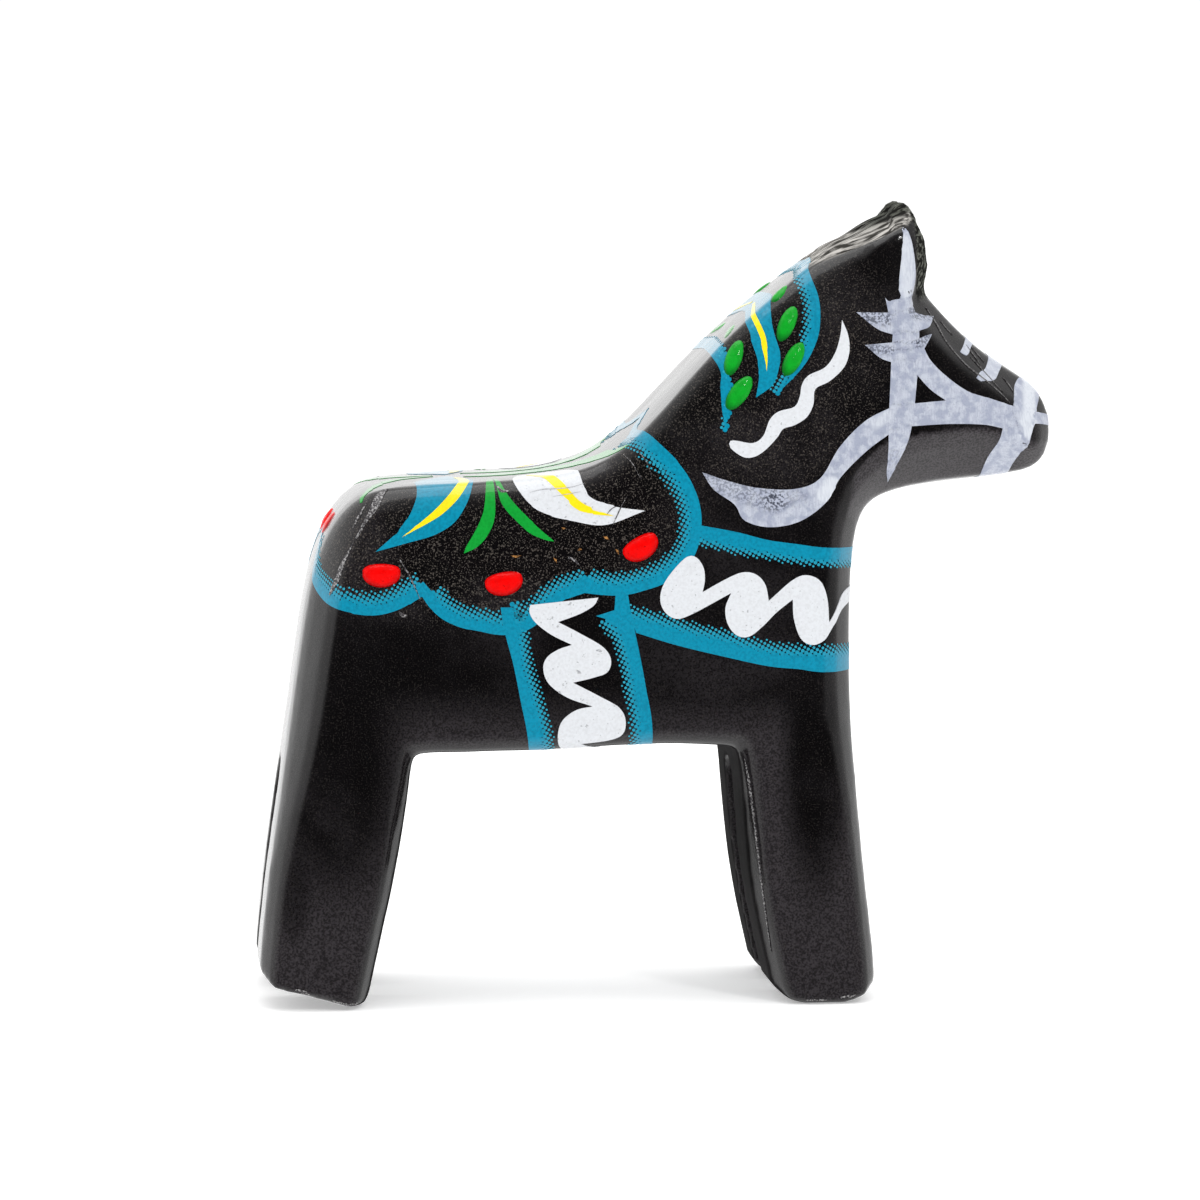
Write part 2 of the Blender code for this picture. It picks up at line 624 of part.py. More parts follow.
def bridle():
    cheek_strap = outline([(19.9, 45.3), (21.7, 48.4), (22.6, 52.0), (22.8, 60.0), (22.4, 66.0),
                           (21.6, 67.6)],
                          [(21.6, 67.6), (20.9, 62.0), (20.3, 52.0), (19.9, 45.3)])
    upper_crescent = outline([(17.3, 60.5), (19.6, 58.9), (22.0, 58.5), (24.4, 60.4)],
                             [(24.4, 60.4), (17.3, 60.5)])
    lower_crescent = outline([(18.0, 57.6), (20.0, 56.2), (22.6, 56.4), (24.1, 58.5)],
                             [(24.1, 58.5), (18.0, 57.6)])
    nose_diagonal = outline([(22.5, 55.2), (25.3, 52.8)],
                            [(25.3, 52.8), (22.3, 52.6)],
                            [(22.3, 52.6), (22.3, 50.6)],
                            [(22.3, 50.6), (26.6, 50.8), (31.6, 50.2)],
                            [(31.6, 50.2), (31.4, 52.3)],
                            [(31.4, 52.3), (26.8, 54.0), (23.3, 57.6)],
                            [(23.3, 57.6), (22.5, 55.2)])
    chin_strap = outline([(27.0, 44.6), (29.4, 44.2)],
                         [(29.4, 44.2), (32.6, 48.8)],
                         [(32.6, 48.8), (31.8, 50.6)],
                         [(31.8, 50.6), (30.4, 50.4)],
                         [(30.4, 50.4), (29.2, 47.8), (27.0, 44.6)])
    muzzle_stroke = outline([(31.8, 54.9), (31.3, 52.3), (32.6, 48.6)],
                            [(32.6, 48.6), (33.4, 51.6), (31.8, 54.9)])
    return [cheek_strap, upper_crescent, lower_crescent, nose_diagonal, chin_strap, muzzle_stroke]


def nose_dash_upper():
    return [brush([(26.2, 57.1, 0.0), (27.2, 58.2, 1.1), (31.5, 62.8, 1.4)])]


def nose_dash_lower():
    return [brush([(28.2, 54.4, 0.0), (29.3, 55.6, 1.2), (34.0, 60.4, 1.4)])]


SIDE_FILMS = {
    "saddle_border": (saddle_border, "blue_print", 0),
    "girth_rear_band": (girth_rear_band, "blue_print", 0),
    "girth_front_band": (girth_front_band, "blue_print", 0),
    "girth_squiggle": (girth_squiggle, "white_paint", 1),
    "blue_leaf": (blue_leaf, "blue_print", 0),
    "blue_leaf_vein": (blue_leaf_vein, "yellow_paint", 1),
    "green_leaf_rear": (green_leaf_rear, "leaf_green", 0),
    "green_leaf_front": (green_leaf_front, "leaf_green", 0),
    "white_leaf": (white_leaf, "white_paint", 0),
    "white_leaf_vein": (white_leaf_vein, "yellow_paint", 1),
    "spine_stroke": (spine_stroke, "leaf_green", 0),
    "mane_front_blade": (mane_front_blade, "blue_print", 0),
    "mane_rear_blade": (mane_rear_blade, "blue_print", 0),
    "mane_stem": (mane_stem, "blue_print", 0),
    "mane_stem_vein": (mane_stem_vein, "yellow_paint", 1),
    "mane_curl": (mane_curl, "white_paint", 0),
    "rein_stroke": (rein_stroke, "silver_glaze", 0),
    "bridle": (bridle, "silver_glaze", 0),
}

# Films that run across the middle. Those of the breast are laid by the chest's outline alone.
BREAST_FILMS = {
    "breast_upper_band": (breast_upper_band, "blue_print", 0),
    "breast_lower_band": (breast_lower_band, "blue_print", 0),
    "breast_squiggle": (breast_squiggle, "white_paint", 1),
}
NOSE_FILMS = {
    "nose_dash_upper": (nose_dash_upper, "silver_glaze", 0),
    "nose_dash_lower": (nose_dash_lower, "silver_glaze", 0),
}

# Raised red berries: x, z, long way across, height, lean of the bean's short axis.
BERRIES = {
    "berry_rump": (-34.8, 45.6, 3.3, 2.4, -53.0),
    "berry_rear": (-24.5, 38.3, 3.3, 2.4, 0.0),
    "berry_middle": (-13.9, 37.4, 3.3, 2.4, -10.0),
    "berry_front": (-2.0, 40.5, 3.3, 2.4, -30.0),
}
BERRY_FLAT_TOP = 0.8

# Raised green drops on the mane: x, z, length, width, lean.
DROPS = {
    "mane_drop_top": (10.4, 62.0, 2.2, 1.4, 25.0),
    "mane_drop_front": (11.0, 59.7, 3.3, 1.5, 25.0),
    "mane_drop_low": (11.5, 56.6, 3.3, 1.5, 30.0),
    "mane_drop_rear": (6.4, 56.7, 3.3, 1.5, 20.0),
    "mane_drop_tail": (6.8, 53.6, 3.5, 1.6, 38.0),
}


# ---------------------------------------------------------------- films as solids


def inside(point, shape):
    """Whether a plane point lies in a polygon, by counting the edges that it sees on one side."""
    found = False
    for i, start in enumerate(shape):
        end = shape[i - 1]
        if (start[1] > point[1]) != (end[1] > point[1]):
            crossing = start[0] + (point[1] - start[1]) * (end[0] - start[0]) / (end[1] - start[1])
            if point[0] < crossing:
                found = not found
    return found


def grid_inside(shapes, skin):
    """Inner points on a square grid, close together only where the surface bends."""
    edge = np.array([p for shape in shapes for p in shape])
    low, high = edge.min(axis=0), edge.max(axis=0)
    points = []
    for i, x in enumerate(np.arange(low[0], high[0], GRID_STEP)):
        for j, z in enumerate(np.arange(low[1], high[1], GRID_STEP)):
            point = np.array([x, z])
            bent = skin.depth(point) < FOLD_DEPTH + GRID_STEP
            if not bent and (i % FLAT_GRID_STRIDE or j % FLAT_GRID_STRIDE):
                continue
            clear = np.min(np.linalg.norm(edge - point, axis=1)) > GRID_STEP * 0.5
            if clear and any(inside(point, shape) for shape in shapes):
                points.append(point)
    return points


def triangulate(shapes, skin):
    """One triangulation of the union of plane shapes."""
    points, loops = [], []
    for shape in shapes:
        loops.append(list(range(len(points), len(points) + len(shape))))
        points.extend(Vector(p) for p in shape)
    points.extend(Vector(p) for p in grid_inside(shapes, skin))
    vertices, _, triangles = delaunay_2d_cdt(points, [], loops, 1, 0.001)[:3]
    kept = []
    for triangle in triangles:
        middle = sum((vertices[i] for i in triangle), Vector((0.0, 0.0))) / 3.0
        if any(inside(middle, shape) for shape in shapes):
            kept.append(list(triangle))
    return vertices, kept


def facing_out(triangle, vertices):
    """The triangle's corners, counter-clockwise in the plane seen from -Y."""
    a, b, c = (vertices[i] for i in triangle)
    turn = (b - a).cross(c - a)
    return triangle if turn > 0 else triangle[::-1]


def sheet_on_skin(placed, rises, faces, crossing):
    """Faces on the body's surface, less those past the middle. A crossing sheet is joined to its
    own mirror image, and any other one stops short of the middle."""
    sheet = bmesh.new()
    rise = sheet.verts.layers.float.new("rise")
    faces = [face for face in faces if not all(placed[i][1] for i in face)]
    for side in (1.0, -1.0) if crossing else (1.0,):
        made = []
        for (point, _), height in zip(placed, rises):
            y = point.y if crossing else min(point.y, -MIDDLE_GAP)
            made.append(sheet.verts.new((point.x, y * side, point.z)))
            made[-1][rise] = height
        for face in faces:
            corners = face if side > 0.0 else face[::-1]
            sheet.faces.new([made[i] for i in corners])
    if crossing:
        bmesh.ops.remove_doubles(sheet, verts=sheet.verts, dist=0.01)
    loose = [v for v in sheet.verts if not v.link_faces]
    bmesh.ops.delete(sheet, geom=loose, context="VERTS")
    return sheet


def thicken(sheet, base):
    """A closed solid between base and base + thickness over the surface, plus each vertex's rise."""
    sheet.normal_update()
    sheet.verts.index_update()
    rise = sheet.verts.layers.float["rise"]
    count = len(sheet.verts)
    lower = [v.co + v.normal * base for v in sheet.verts]
    upper = [v.co + v.normal * (base + FILM_THICKNESS + v[rise]) for v in sheet.verts]
    faces = []
    for face in sheet.faces:
        corners = [v.index for v in face.verts]
        faces.append([i + count for i in corners])
        faces.append(corners[::-1])
    for edge in sheet.edges:
        if edge.is_boundary:
            loop = edge.link_loops[0]
            first, second = loop.vert.index, loop.link_loop_next.vert.index
            faces.append([first, second, second + count, first + count])
    sheet.free()
    return lower + upper, faces


def make_nodes(name, sheet, layer, material, crossing):
    """One object for a crossing sheet. Otherwise a right one and its mirror image on the left."""
    vertices, faces = thicken(sheet, FILM_GAP + layer * LAYER_STEP)
    if crossing:
        nodes = [make_object(name, vertices, faces, material)]
    else:
        mirrored = [(x, -y, z) for x, y, z in vertices]
        nodes = [make_object(name + "_right", vertices, faces, material),
                 make_object(name + "_left", mirrored, [face[::-1] for face in faces], material)]
    for node in nodes:
        node.data.shade_smooth()


def make_film(name, shapes, layer, material, skin, crossing=False):
    vertices, triangles = triangulate(shapes, skin)
    placed = [skin.place(v.x, v.y) for v in vertices]
    faces = [facing_out(triangle, vertices) for triangle in triangles]
    sheet = sheet_on_skin(placed, [0.0] * len(placed), faces, crossing)
    make_nodes(name, sheet, layer, material, crossing)


def make_bead(name, shape, material, skin):
    """A raised blob of paint: an outline, a shoulder ring and a high middle."""
    centre = sum(shape) / len(shape)
    shoulder = [centre + (p - centre) * BEAD_SHOULDER for p in shape]
    count = len(shape)
    placed = [skin.place(*p) for p in [centre] + shoulder + shape]
    rises = [BEAD_RISE] + [BEAD_RISE * BEAD_SHOULDER_RISE] * count + [0.0] * count
    faces = []
    for i in range(count):
        j = (i + 1) % count
        faces.append([0, 1 + i, 1 + j])
        faces.append([1 + i, 1 + count + i, 1 + count + j, 1 + j])
    make_nodes(name, sheet_on_skin(placed, rises, faces, False), 1, material, False)


def body_tree(body):
    bpy.context.view_layer.update()
    graph = bpy.context.evaluated_depsgraph_get()
    return BVHTree.FromObject(body, graph)


def main():
    for thing in list(bpy.data.objects):
        bpy.data.objects.remove(thing, do_unlink=True)
    materials = {
        "black_lacquer": make_material("black_lacquer", (0.012, 0.012, 0.013), 0.25),
        "blue_print": make_material("blue_print", (0.002, 0.26, 0.42), 0.35),
        "white_paint": make_material("white_paint", (0.76, 0.78, 0.82), 0.35),
        "yellow_paint": make_material("yellow_paint", (0.95, 0.72, 0.02), 0.35),
        "leaf_green": make_material("leaf_green", (0.01, 0.33, 0.05), 0.35),
        "drop_green": make_material("drop_green", (0.01, 0.36, 0.03), 0.2),
        "berry_red": make_material("berry_red", (0.80, 0.005, 0.005), 0.15),
        "silver_glaze": make_material("silver_glaze", (0.48, 0.52, 0.60), 0.3, 0.1),
    }
    body = carved_body(materials["black_lacquer"])
    body.data.shade_smooth()
    tree = body_tree(body)
    skin = Skin(tree)
    chest_skin = Skin(tree, "throat", "knee")
    for name, (shape, paint, layer) in SIDE_FILMS.items():
        make_film(name, shape(), layer, materials[paint], skin)
    for name, (shape, paint, layer) in NOSE_FILMS.items():
        make_film(name, shape(), layer, materials[paint], skin, crossing=True)
    for name, (shape, paint, layer) in BREAST_FILMS.items():
        make_film(name, shape(), layer, materials[paint], chest_skin, crossing=True)
    for name, (x, z, across, height, lean) in BERRIES.items():
        make_bead(name, oval(x, z, height, across, lean, BERRY_FLAT_TOP), materials["berry_red"], skin)
    for name, (x, z, length, width, lean) in DROPS.items():
        make_bead(name, oval(x, z, length, width, lean), materials["drop_green"], skin)


main()
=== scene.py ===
"""The looks of a small dala horse: carved and lacquered wood, printed borders and painted strokes.

Plane shapes are (x, z) in millimetres on the flat right side of the horse, which faces -Y. A shape
that runs past the flat goes on round the edge, as if the body's skin had been unrolled. The left side
mirrors the right one.
"""

import math

import bmesh
import bpy
import numpy as np
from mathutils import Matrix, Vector, noise
from mathutils.bvhtree import BVHTree
from mathutils.geometry import delaunay_2d_cdt


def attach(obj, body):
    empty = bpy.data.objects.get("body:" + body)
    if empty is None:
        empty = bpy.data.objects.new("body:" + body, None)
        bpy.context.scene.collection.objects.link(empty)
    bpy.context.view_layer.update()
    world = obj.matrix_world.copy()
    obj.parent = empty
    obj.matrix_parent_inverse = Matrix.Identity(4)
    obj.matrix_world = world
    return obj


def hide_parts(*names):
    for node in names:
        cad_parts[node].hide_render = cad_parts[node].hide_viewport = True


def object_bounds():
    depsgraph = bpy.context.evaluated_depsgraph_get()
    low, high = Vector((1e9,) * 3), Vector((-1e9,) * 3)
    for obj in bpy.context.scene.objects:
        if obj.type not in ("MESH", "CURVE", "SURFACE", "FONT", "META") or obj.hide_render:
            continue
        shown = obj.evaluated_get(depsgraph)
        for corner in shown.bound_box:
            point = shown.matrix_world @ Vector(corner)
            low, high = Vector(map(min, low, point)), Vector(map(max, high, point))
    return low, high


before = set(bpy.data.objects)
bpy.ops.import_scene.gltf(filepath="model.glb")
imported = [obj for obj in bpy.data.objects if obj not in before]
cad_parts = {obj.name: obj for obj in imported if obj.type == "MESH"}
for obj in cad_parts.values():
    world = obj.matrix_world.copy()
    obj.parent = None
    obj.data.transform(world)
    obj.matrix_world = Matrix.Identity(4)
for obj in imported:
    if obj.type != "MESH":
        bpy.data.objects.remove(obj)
CAD_LOW, CAD_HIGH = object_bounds()

# Lengths are in millimetres, except on the stage at the end, where they are in metres.
MM = 0.001

# The visible body: the size and smoothing of its mesh, and the rounding of its soles.
VOXEL = 0.36
SMOOTHING = 3
SOLE_EDGE = 1.6
SOLE_SMOOTHING = 8

# The unrolled skin: the plane of its outline, and how far inside the outline the flat side begins.
SECTION_Y = -3.0
LINE_STEP = 0.5
FOLD_DEPTH = 4.0
SKIN_RAYS = 25
# A length past anything drawn here, and how many points are measured at once.
FAR = 40.0
BATCH = 4000
# Ends of the outline's stretches down the chest and under the belly.
THROAT = (18.2, 41.0)
KNEE = (18.5, 8.5)
ELBOW = (6.2, 22.3)
STIFLE = (-21.3, 21.9)
# A shape that runs to here goes on to the middle of the chest.
PAST_CHEST = 28.0

# Films: the fineness of their meshes, and how far they reach into and over the body.
CURVE_STEP = 0.25
FLAT_GRID = 0.6
BENT_GRID = 0.26
SUNK = 0.05
PRINT_LIFT = 0.04
PAINT_LIFT = 0.06
WEAR_AND_HIGHLIGHT_LIFT = 0.07
# Points this near the middle are merged across it, and edges sharper than this angle stay sharp.
MIDDLE_MERGE = 0.02
SHARP_ANGLE = math.radians(42.0)

# The print screen. A dot's radius is a share of the pitch, and grows by another share with its tone.
SCREEN_PITCH = 0.36
SCREEN_ANGLE = math.radians(-30.0)
DOT_SIDES = 10
SMALL_DOT = 0.22
DOT_GROWTH = 0.42
# Dots that overlap lie at different heights.
DOT_LEVELS = 5
DOT_STEP = 0.002


# ---------------------------------------------------------------- meshes


def smoothstep(low, high, value):
    t = np.clip((value - low) / (high - low), 0.0, 1.0)
    return t * t * (3.0 - 2.0 * t)


def mesh_arrays(mesh):
    vertices = np.empty(len(mesh.vertices) * 3)
    mesh.vertices.foreach_get("co", vertices)
    normals = np.empty(len(mesh.vertices) * 3)
    mesh.vertex_normals.foreach_get("vector", normals)
    return vertices.reshape(-1, 3), normals.reshape(-1, 3)


class Piece:
    """One object in the making: vertices in millimetres, faces, and a tone from 0 to 1 at each vertex."""

    def __init__(self, name):
        self.name = name
        self.vertices = []
        self.faces = []
        self.tones = []

    def add(self, vertices, faces, tones):
        start = len(self.vertices)
        self.vertices.extend(tuple(v) for v in vertices)
        self.faces.extend([start + i for i in face] for face in faces)
        self.tones.extend(tones)

    def finish(self, paint, slot, *nodes):
        mesh = bpy.data.meshes.new(self.name)
        mesh.from_pydata([Vector(v) * MM for v in self.vertices], [], self.faces)
        mesh.update()
        add_values(mesh, "tone", self.tones)
        mesh.shade_smooth()
        mesh.set_sharp_from_angle(angle=SHARP_ANGLE)
        mesh.materials.append(paint)
        place_on_horse(bpy.data.objects.new(self.name, mesh), slot, *nodes)


def add_values(mesh, name, values):
    layer = mesh.attributes.new(name, "FLOAT", "POINT")
    layer.data.foreach_set("value", np.asarray(values, np.float32))


def place_on_horse(thing, slot, *nodes):
    bpy.context.scene.collection.objects.link(thing)
    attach(thing, "root")
    if nodes:
        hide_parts(*nodes)


def patch(x, z, spot, outer, inner):
    """1 in an ellipse, given as its centre's x and z and its half sizes, that fades to 0 round it."""
    centre_x, centre_z, across, up = spot
    return smoothstep(outer, inner, np.hypot((x - centre_x) / across, (z - centre_z) / up))


def both(name):
    """The CAD nodes of a film that has a right and a left copy."""
    return name + "_right", name + "_left"


# ---------------------------------------------------------------- body


def cad_body():
    """The CAD body with its seams merged, in millimetres."""
    shape = bmesh.new()
    shape.from_mesh(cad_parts["carved_body"].data)
    bmesh.ops.scale(shape, vec=(1.0 / MM,) * 3, verts=shape.verts)
    bmesh.ops.remove_doubles(shape, verts=shape.verts, dist=0.001)
    return shape


def smooth_body():
    """One even, finely divided mesh with the CAD body's facets smoothed out."""
    shape = cad_body()
    mesh = bpy.data.meshes.new("rough_body")
    shape.to_mesh(mesh)
    shape.free()
    rough = bpy.data.objects.new("rough_body", mesh)
    bpy.context.scene.collection.objects.link(rough)
    remesh = rough.modifiers.new("even", "REMESH")
    remesh.mode = "VOXEL"
    remesh.voxel_size = VOXEL
    smooth = rough.modifiers.new("smooth", "SMOOTH")
    smooth.iterations = SMOOTHING
    graph = bpy.context.evaluated_depsgraph_get()
    result = bpy.data.meshes.new_from_object(rough.evaluated_get(graph))
    bpy.data.objects.remove(rough)
    bpy.data.meshes.remove(mesh)
    return result


def round_soles(mesh):
    """Rounds the worn edges of the soles."""
    shape = bmesh.new()
    shape.from_mesh(mesh)
    low = [v for v in shape.verts if v.co.z < SOLE_EDGE]
    axes = {"use_axis_x": True, "use_axis_y": True, "use_axis_z": True}
    for _ in range(SOLE_SMOOTHING):
        bmesh.ops.smooth_vert(shape, verts=low, factor=0.5, **axes)
    shape.to_mesh(mesh)
    shape.free()


# The line under the torn edge of the ears, from the poll to the forehead.
TORN_LINE = ((13.6, 64.5), (21.6, 67.9))
TORN_DIRECTION = math.radians(24.0)


def above_torn_line(x, z):
    (x0, z0), (x1, z1) = TORN_LINE
    return ((x1 - x0) * (z - z0) - (z1 - z0) * (x - x0)) / math.hypot(x1 - x0, z1 - z0)


def torn_share(x, z):
    """1 on the torn wood of the ears' upper edge and of their front edge, 0 elsewhere."""
    upper = smoothstep(-0.1, 0.25, above_torn_line(x, z)) * smoothstep(9.5, 12.0, x)
    front = smoothstep(22.75, 23.0, x) * smoothstep(61.0, 62.5, z)
    return np.maximum(upper, front)


def aged_share(x, z):
    """Torn wood is dark along the top, near the tip and in front, and fresh above the lacquer's edge."""
    top = smoothstep(0.8, 1.5, above_torn_line(x, z) + 0.04 * (x - 14.0))
    return np.maximum(top, smoothstep(22.3, 22.7, x))


# Painted sheen, grey reflected light painted into the lacquer's colour: where it sets in on the way down, and
# its share below and at the jaw.
PAINTED_SHEEN_HEIGHTS = (29.0, 22.5)
LOW_PAINTED_SHEEN = 0.6
JAW_PAINTED_SHEEN = 0.8
# Where the lower half has less of it: centre x and z, half width, half height and share lost.
DARK_PATCHES = [(-28.6, 22.0, 6.6, 13.0, 1.0), (13.4, 21.5, 3.2, 12.5, 1.0), (-32.2, 10.0, 1.5, 4.2, 0.6)]


def painted_sheen_share(vertices, normals):
    """Where grey sheen is painted into the lacquer's colour: low on the flat sides, and on the facet under
    the jaw.
    """
    x, _, z = vertices.T
    low = smoothstep(*PAINTED_SHEEN_HEIGHTS, z) * smoothstep(0.4, 0.95, np.abs(normals[:, 1]))
    for *spot, lost in DARK_PATCHES:
        low *= 1.0 - lost * patch(x, z, spot, 1.25, 0.45)
    jaw = smoothstep(14.0, 17.0, x) * smoothstep(41.5, 43.0, z) * smoothstep(54.0, 52.5, z)
    return np.maximum(LOW_PAINTED_SHEEN * low, JAW_PAINTED_SHEEN * jaw * smoothstep(-0.1, -0.2, normals[:, 2]))


def sawn_share(vertices, normals):
    """1 on the faces of the slot between the legs, 0 elsewhere."""
    x, _, z = vertices.T
    slot = smoothstep(-28.0, -27.5, x) * smoothstep(13.0, 12.5, x) * smoothstep(24.0, 23.5, z)
    return slot * smoothstep(0.5, 0.25, np.abs(normals[:, 1]))


# The lump on the ears' tip, and how far the wood behind it is worn down.
EAR_TIP = (21.6, 70.0)
TIP_LUMP = 0.3
WORN_DOWN = 0.35
# Unevenness of the whole body, and threads on the torn wood: height, and the size of a feature.
WAVES = ((0.07, 9.0), (0.025, 3.0))
THREADS = ((0.16, 0.9), (0.08, 0.45))
TORN_DEPTH = 0.06


def fibre(x, y, z, width):
    """Noise in long threads that follow the torn edge."""
    along = x * math.cos(TORN_DIRECTION) + z * math.sin(TORN_DIRECTION)
    across = z * math.cos(TORN_DIRECTION) - x * math.sin(TORN_DIRECTION)
    return noise.noise(Vector((along / 4.0, across / width, y / width)))


def carve(mesh):
    """Gentle unevenness from carving and lacquering all over, and torn threads of wood on the ears."""
    vertices, normals = mesh_arrays(mesh)
    torn = torn_share(vertices[:, 0], vertices[:, 2])
    heights = np.zeros(len(vertices))
    for i, (x, y, z) in enumerate(vertices):
        place = Vector((x, y, z))
        heights[i] = sum(height * noise.noise(place / size) for height, size in WAVES)
        if torn[i] > 0.0:
            threads = sum(height * fibre(x, y, z, width) for height, width in THREADS)
            heights[i] += torn[i] * (threads - TORN_DEPTH)
            heights[i] += TIP_LUMP * smoothstep(0.8, 0.4, math.dist((x, z), EAR_TIP))
            heights[i] -= WORN_DOWN * smoothstep(15.0, 18.0, x) * smoothstep(21.0, 20.4, x) * torn[i]
    vertices += normals * heights[:, None]
    mesh.vertices.foreach_set("co", vertices.ravel())
    mesh.update()
    return torn


# Dusty patches of lacquer, and the share of dust in the mane's patch and everywhere.
SADDLE_DUST = (-17.0, 45.0, 20.0, 11.0)
MANE_DUST = (9.0, 57.0, 11.0, 12.0)
MANE_SHARE = 0.7
LEAST_DUST = 0.15


def speckle_share(x, z):
    """Where the lacquer is dusty: under the saddle and the mane pattern."""
    saddle = patch(x, z, SADDLE_DUST, 1.15, 0.8)
    mane = patch(x, z, MANE_DUST, 1.2, 0.8)
    return LEAST_DUST + (1.0 - LEAST_DUST) * np.maximum(saddle, MANE_SHARE * mane)


def make_body(paint):
    mesh = smooth_body()
    mesh.name = "horse_body"
    round_soles(mesh)
    torn = carve(mesh)
    vertices, normals = mesh_arrays(mesh)
    tree = BVHTree.FromPolygons(vertices.tolist(), [list(p.vertices) for p in mesh.polygons])
    add_values(mesh, "torn", torn)
    add_values(mesh, "dull", np.maximum(torn, sawn_share(vertices, normals)))
    # The sheen attribute is painted sheen, grey reflected light for the lacquer's colour.
    add_values(mesh, "sheen", painted_sheen_share(vertices, normals))
    add_values(mesh, "aged", aged_share(vertices[:, 0], vertices[:, 2]))
    add_values(mesh, "speckle", speckle_share(vertices[:, 0], vertices[:, 2]))
    mesh.vertices.foreach_set("co", (vertices * MM).ravel())
    mesh.update()
    mesh.shade_smooth()
    mesh.materials.clear()
    mesh.materials.append(paint)
    body = bpy.data.objects.new("horse_body", mesh)
    place_on_horse(body, "black_lacquer", "carved_body")
    return tree


# ---------------------------------------------------------------- the skin, unrolled


def body_outline():
    """The body's outline in the plane SECTION_Y, as an even clockwise loop seen from -Y."""
    shape = cad_body()
    everything = shape.verts[:] + shape.edges[:] + shape.faces[:]
    cut = bmesh.ops.bisect_plane(shape, geom=everything, dist=0.0001,
                                 plane_co=(0.0, SECTION_Y, 0.0), plane_no=(0.0, 1.0, 0.0))
    neighbours = {}
    for edge in cut["geom_cut"]:
        if isinstance(edge, bmesh.types.BMEdge):
            a, b = edge.verts
            neighbours.setdefault(a, []).append(b)
            neighbours.setdefault(b, []).append(a)
    start = min(neighbours, key=lambda v: v.co.z)
    loop = [start]
    previous, current = start, neighbours[start][0]
    while current is not start:
        loop.append(current)
        following = [v for v in neighbours[current] if v is not previous]
        previous, current = current, following[0]
    points = np.array([(v.co.x, v.co.z) for v in loop])
    shape.free()
    following = np.roll(points, -1, axis=0)
    if np.sum(points[:, 0] * following[:, 1] - points[:, 1] * following[:, 0]) > 0.0:
        points = points[::-1]
    return evenly(np.vstack([points, points[:1]]), LINE_STEP)[:-1]


def evenly(points, step):
    """Points at an even step along a polyline."""
    lengths = np.concatenate([[0.0], np.cumsum(np.linalg.norm(np.diff(points, axis=0), axis=1))])
    stations = np.linspace(0.0, lengths[-1], max(2, round(lengths[-1] / step) + 1))
    return np.stack([np.interp(stations, lengths, points[:, k]) for k in range(points.shape[1])], axis=1)


def batches(points):
    """Slices of the points, to keep the tables of distances small."""
    return [slice(start, start + BATCH) for start in range(0, len(points), BATCH)]


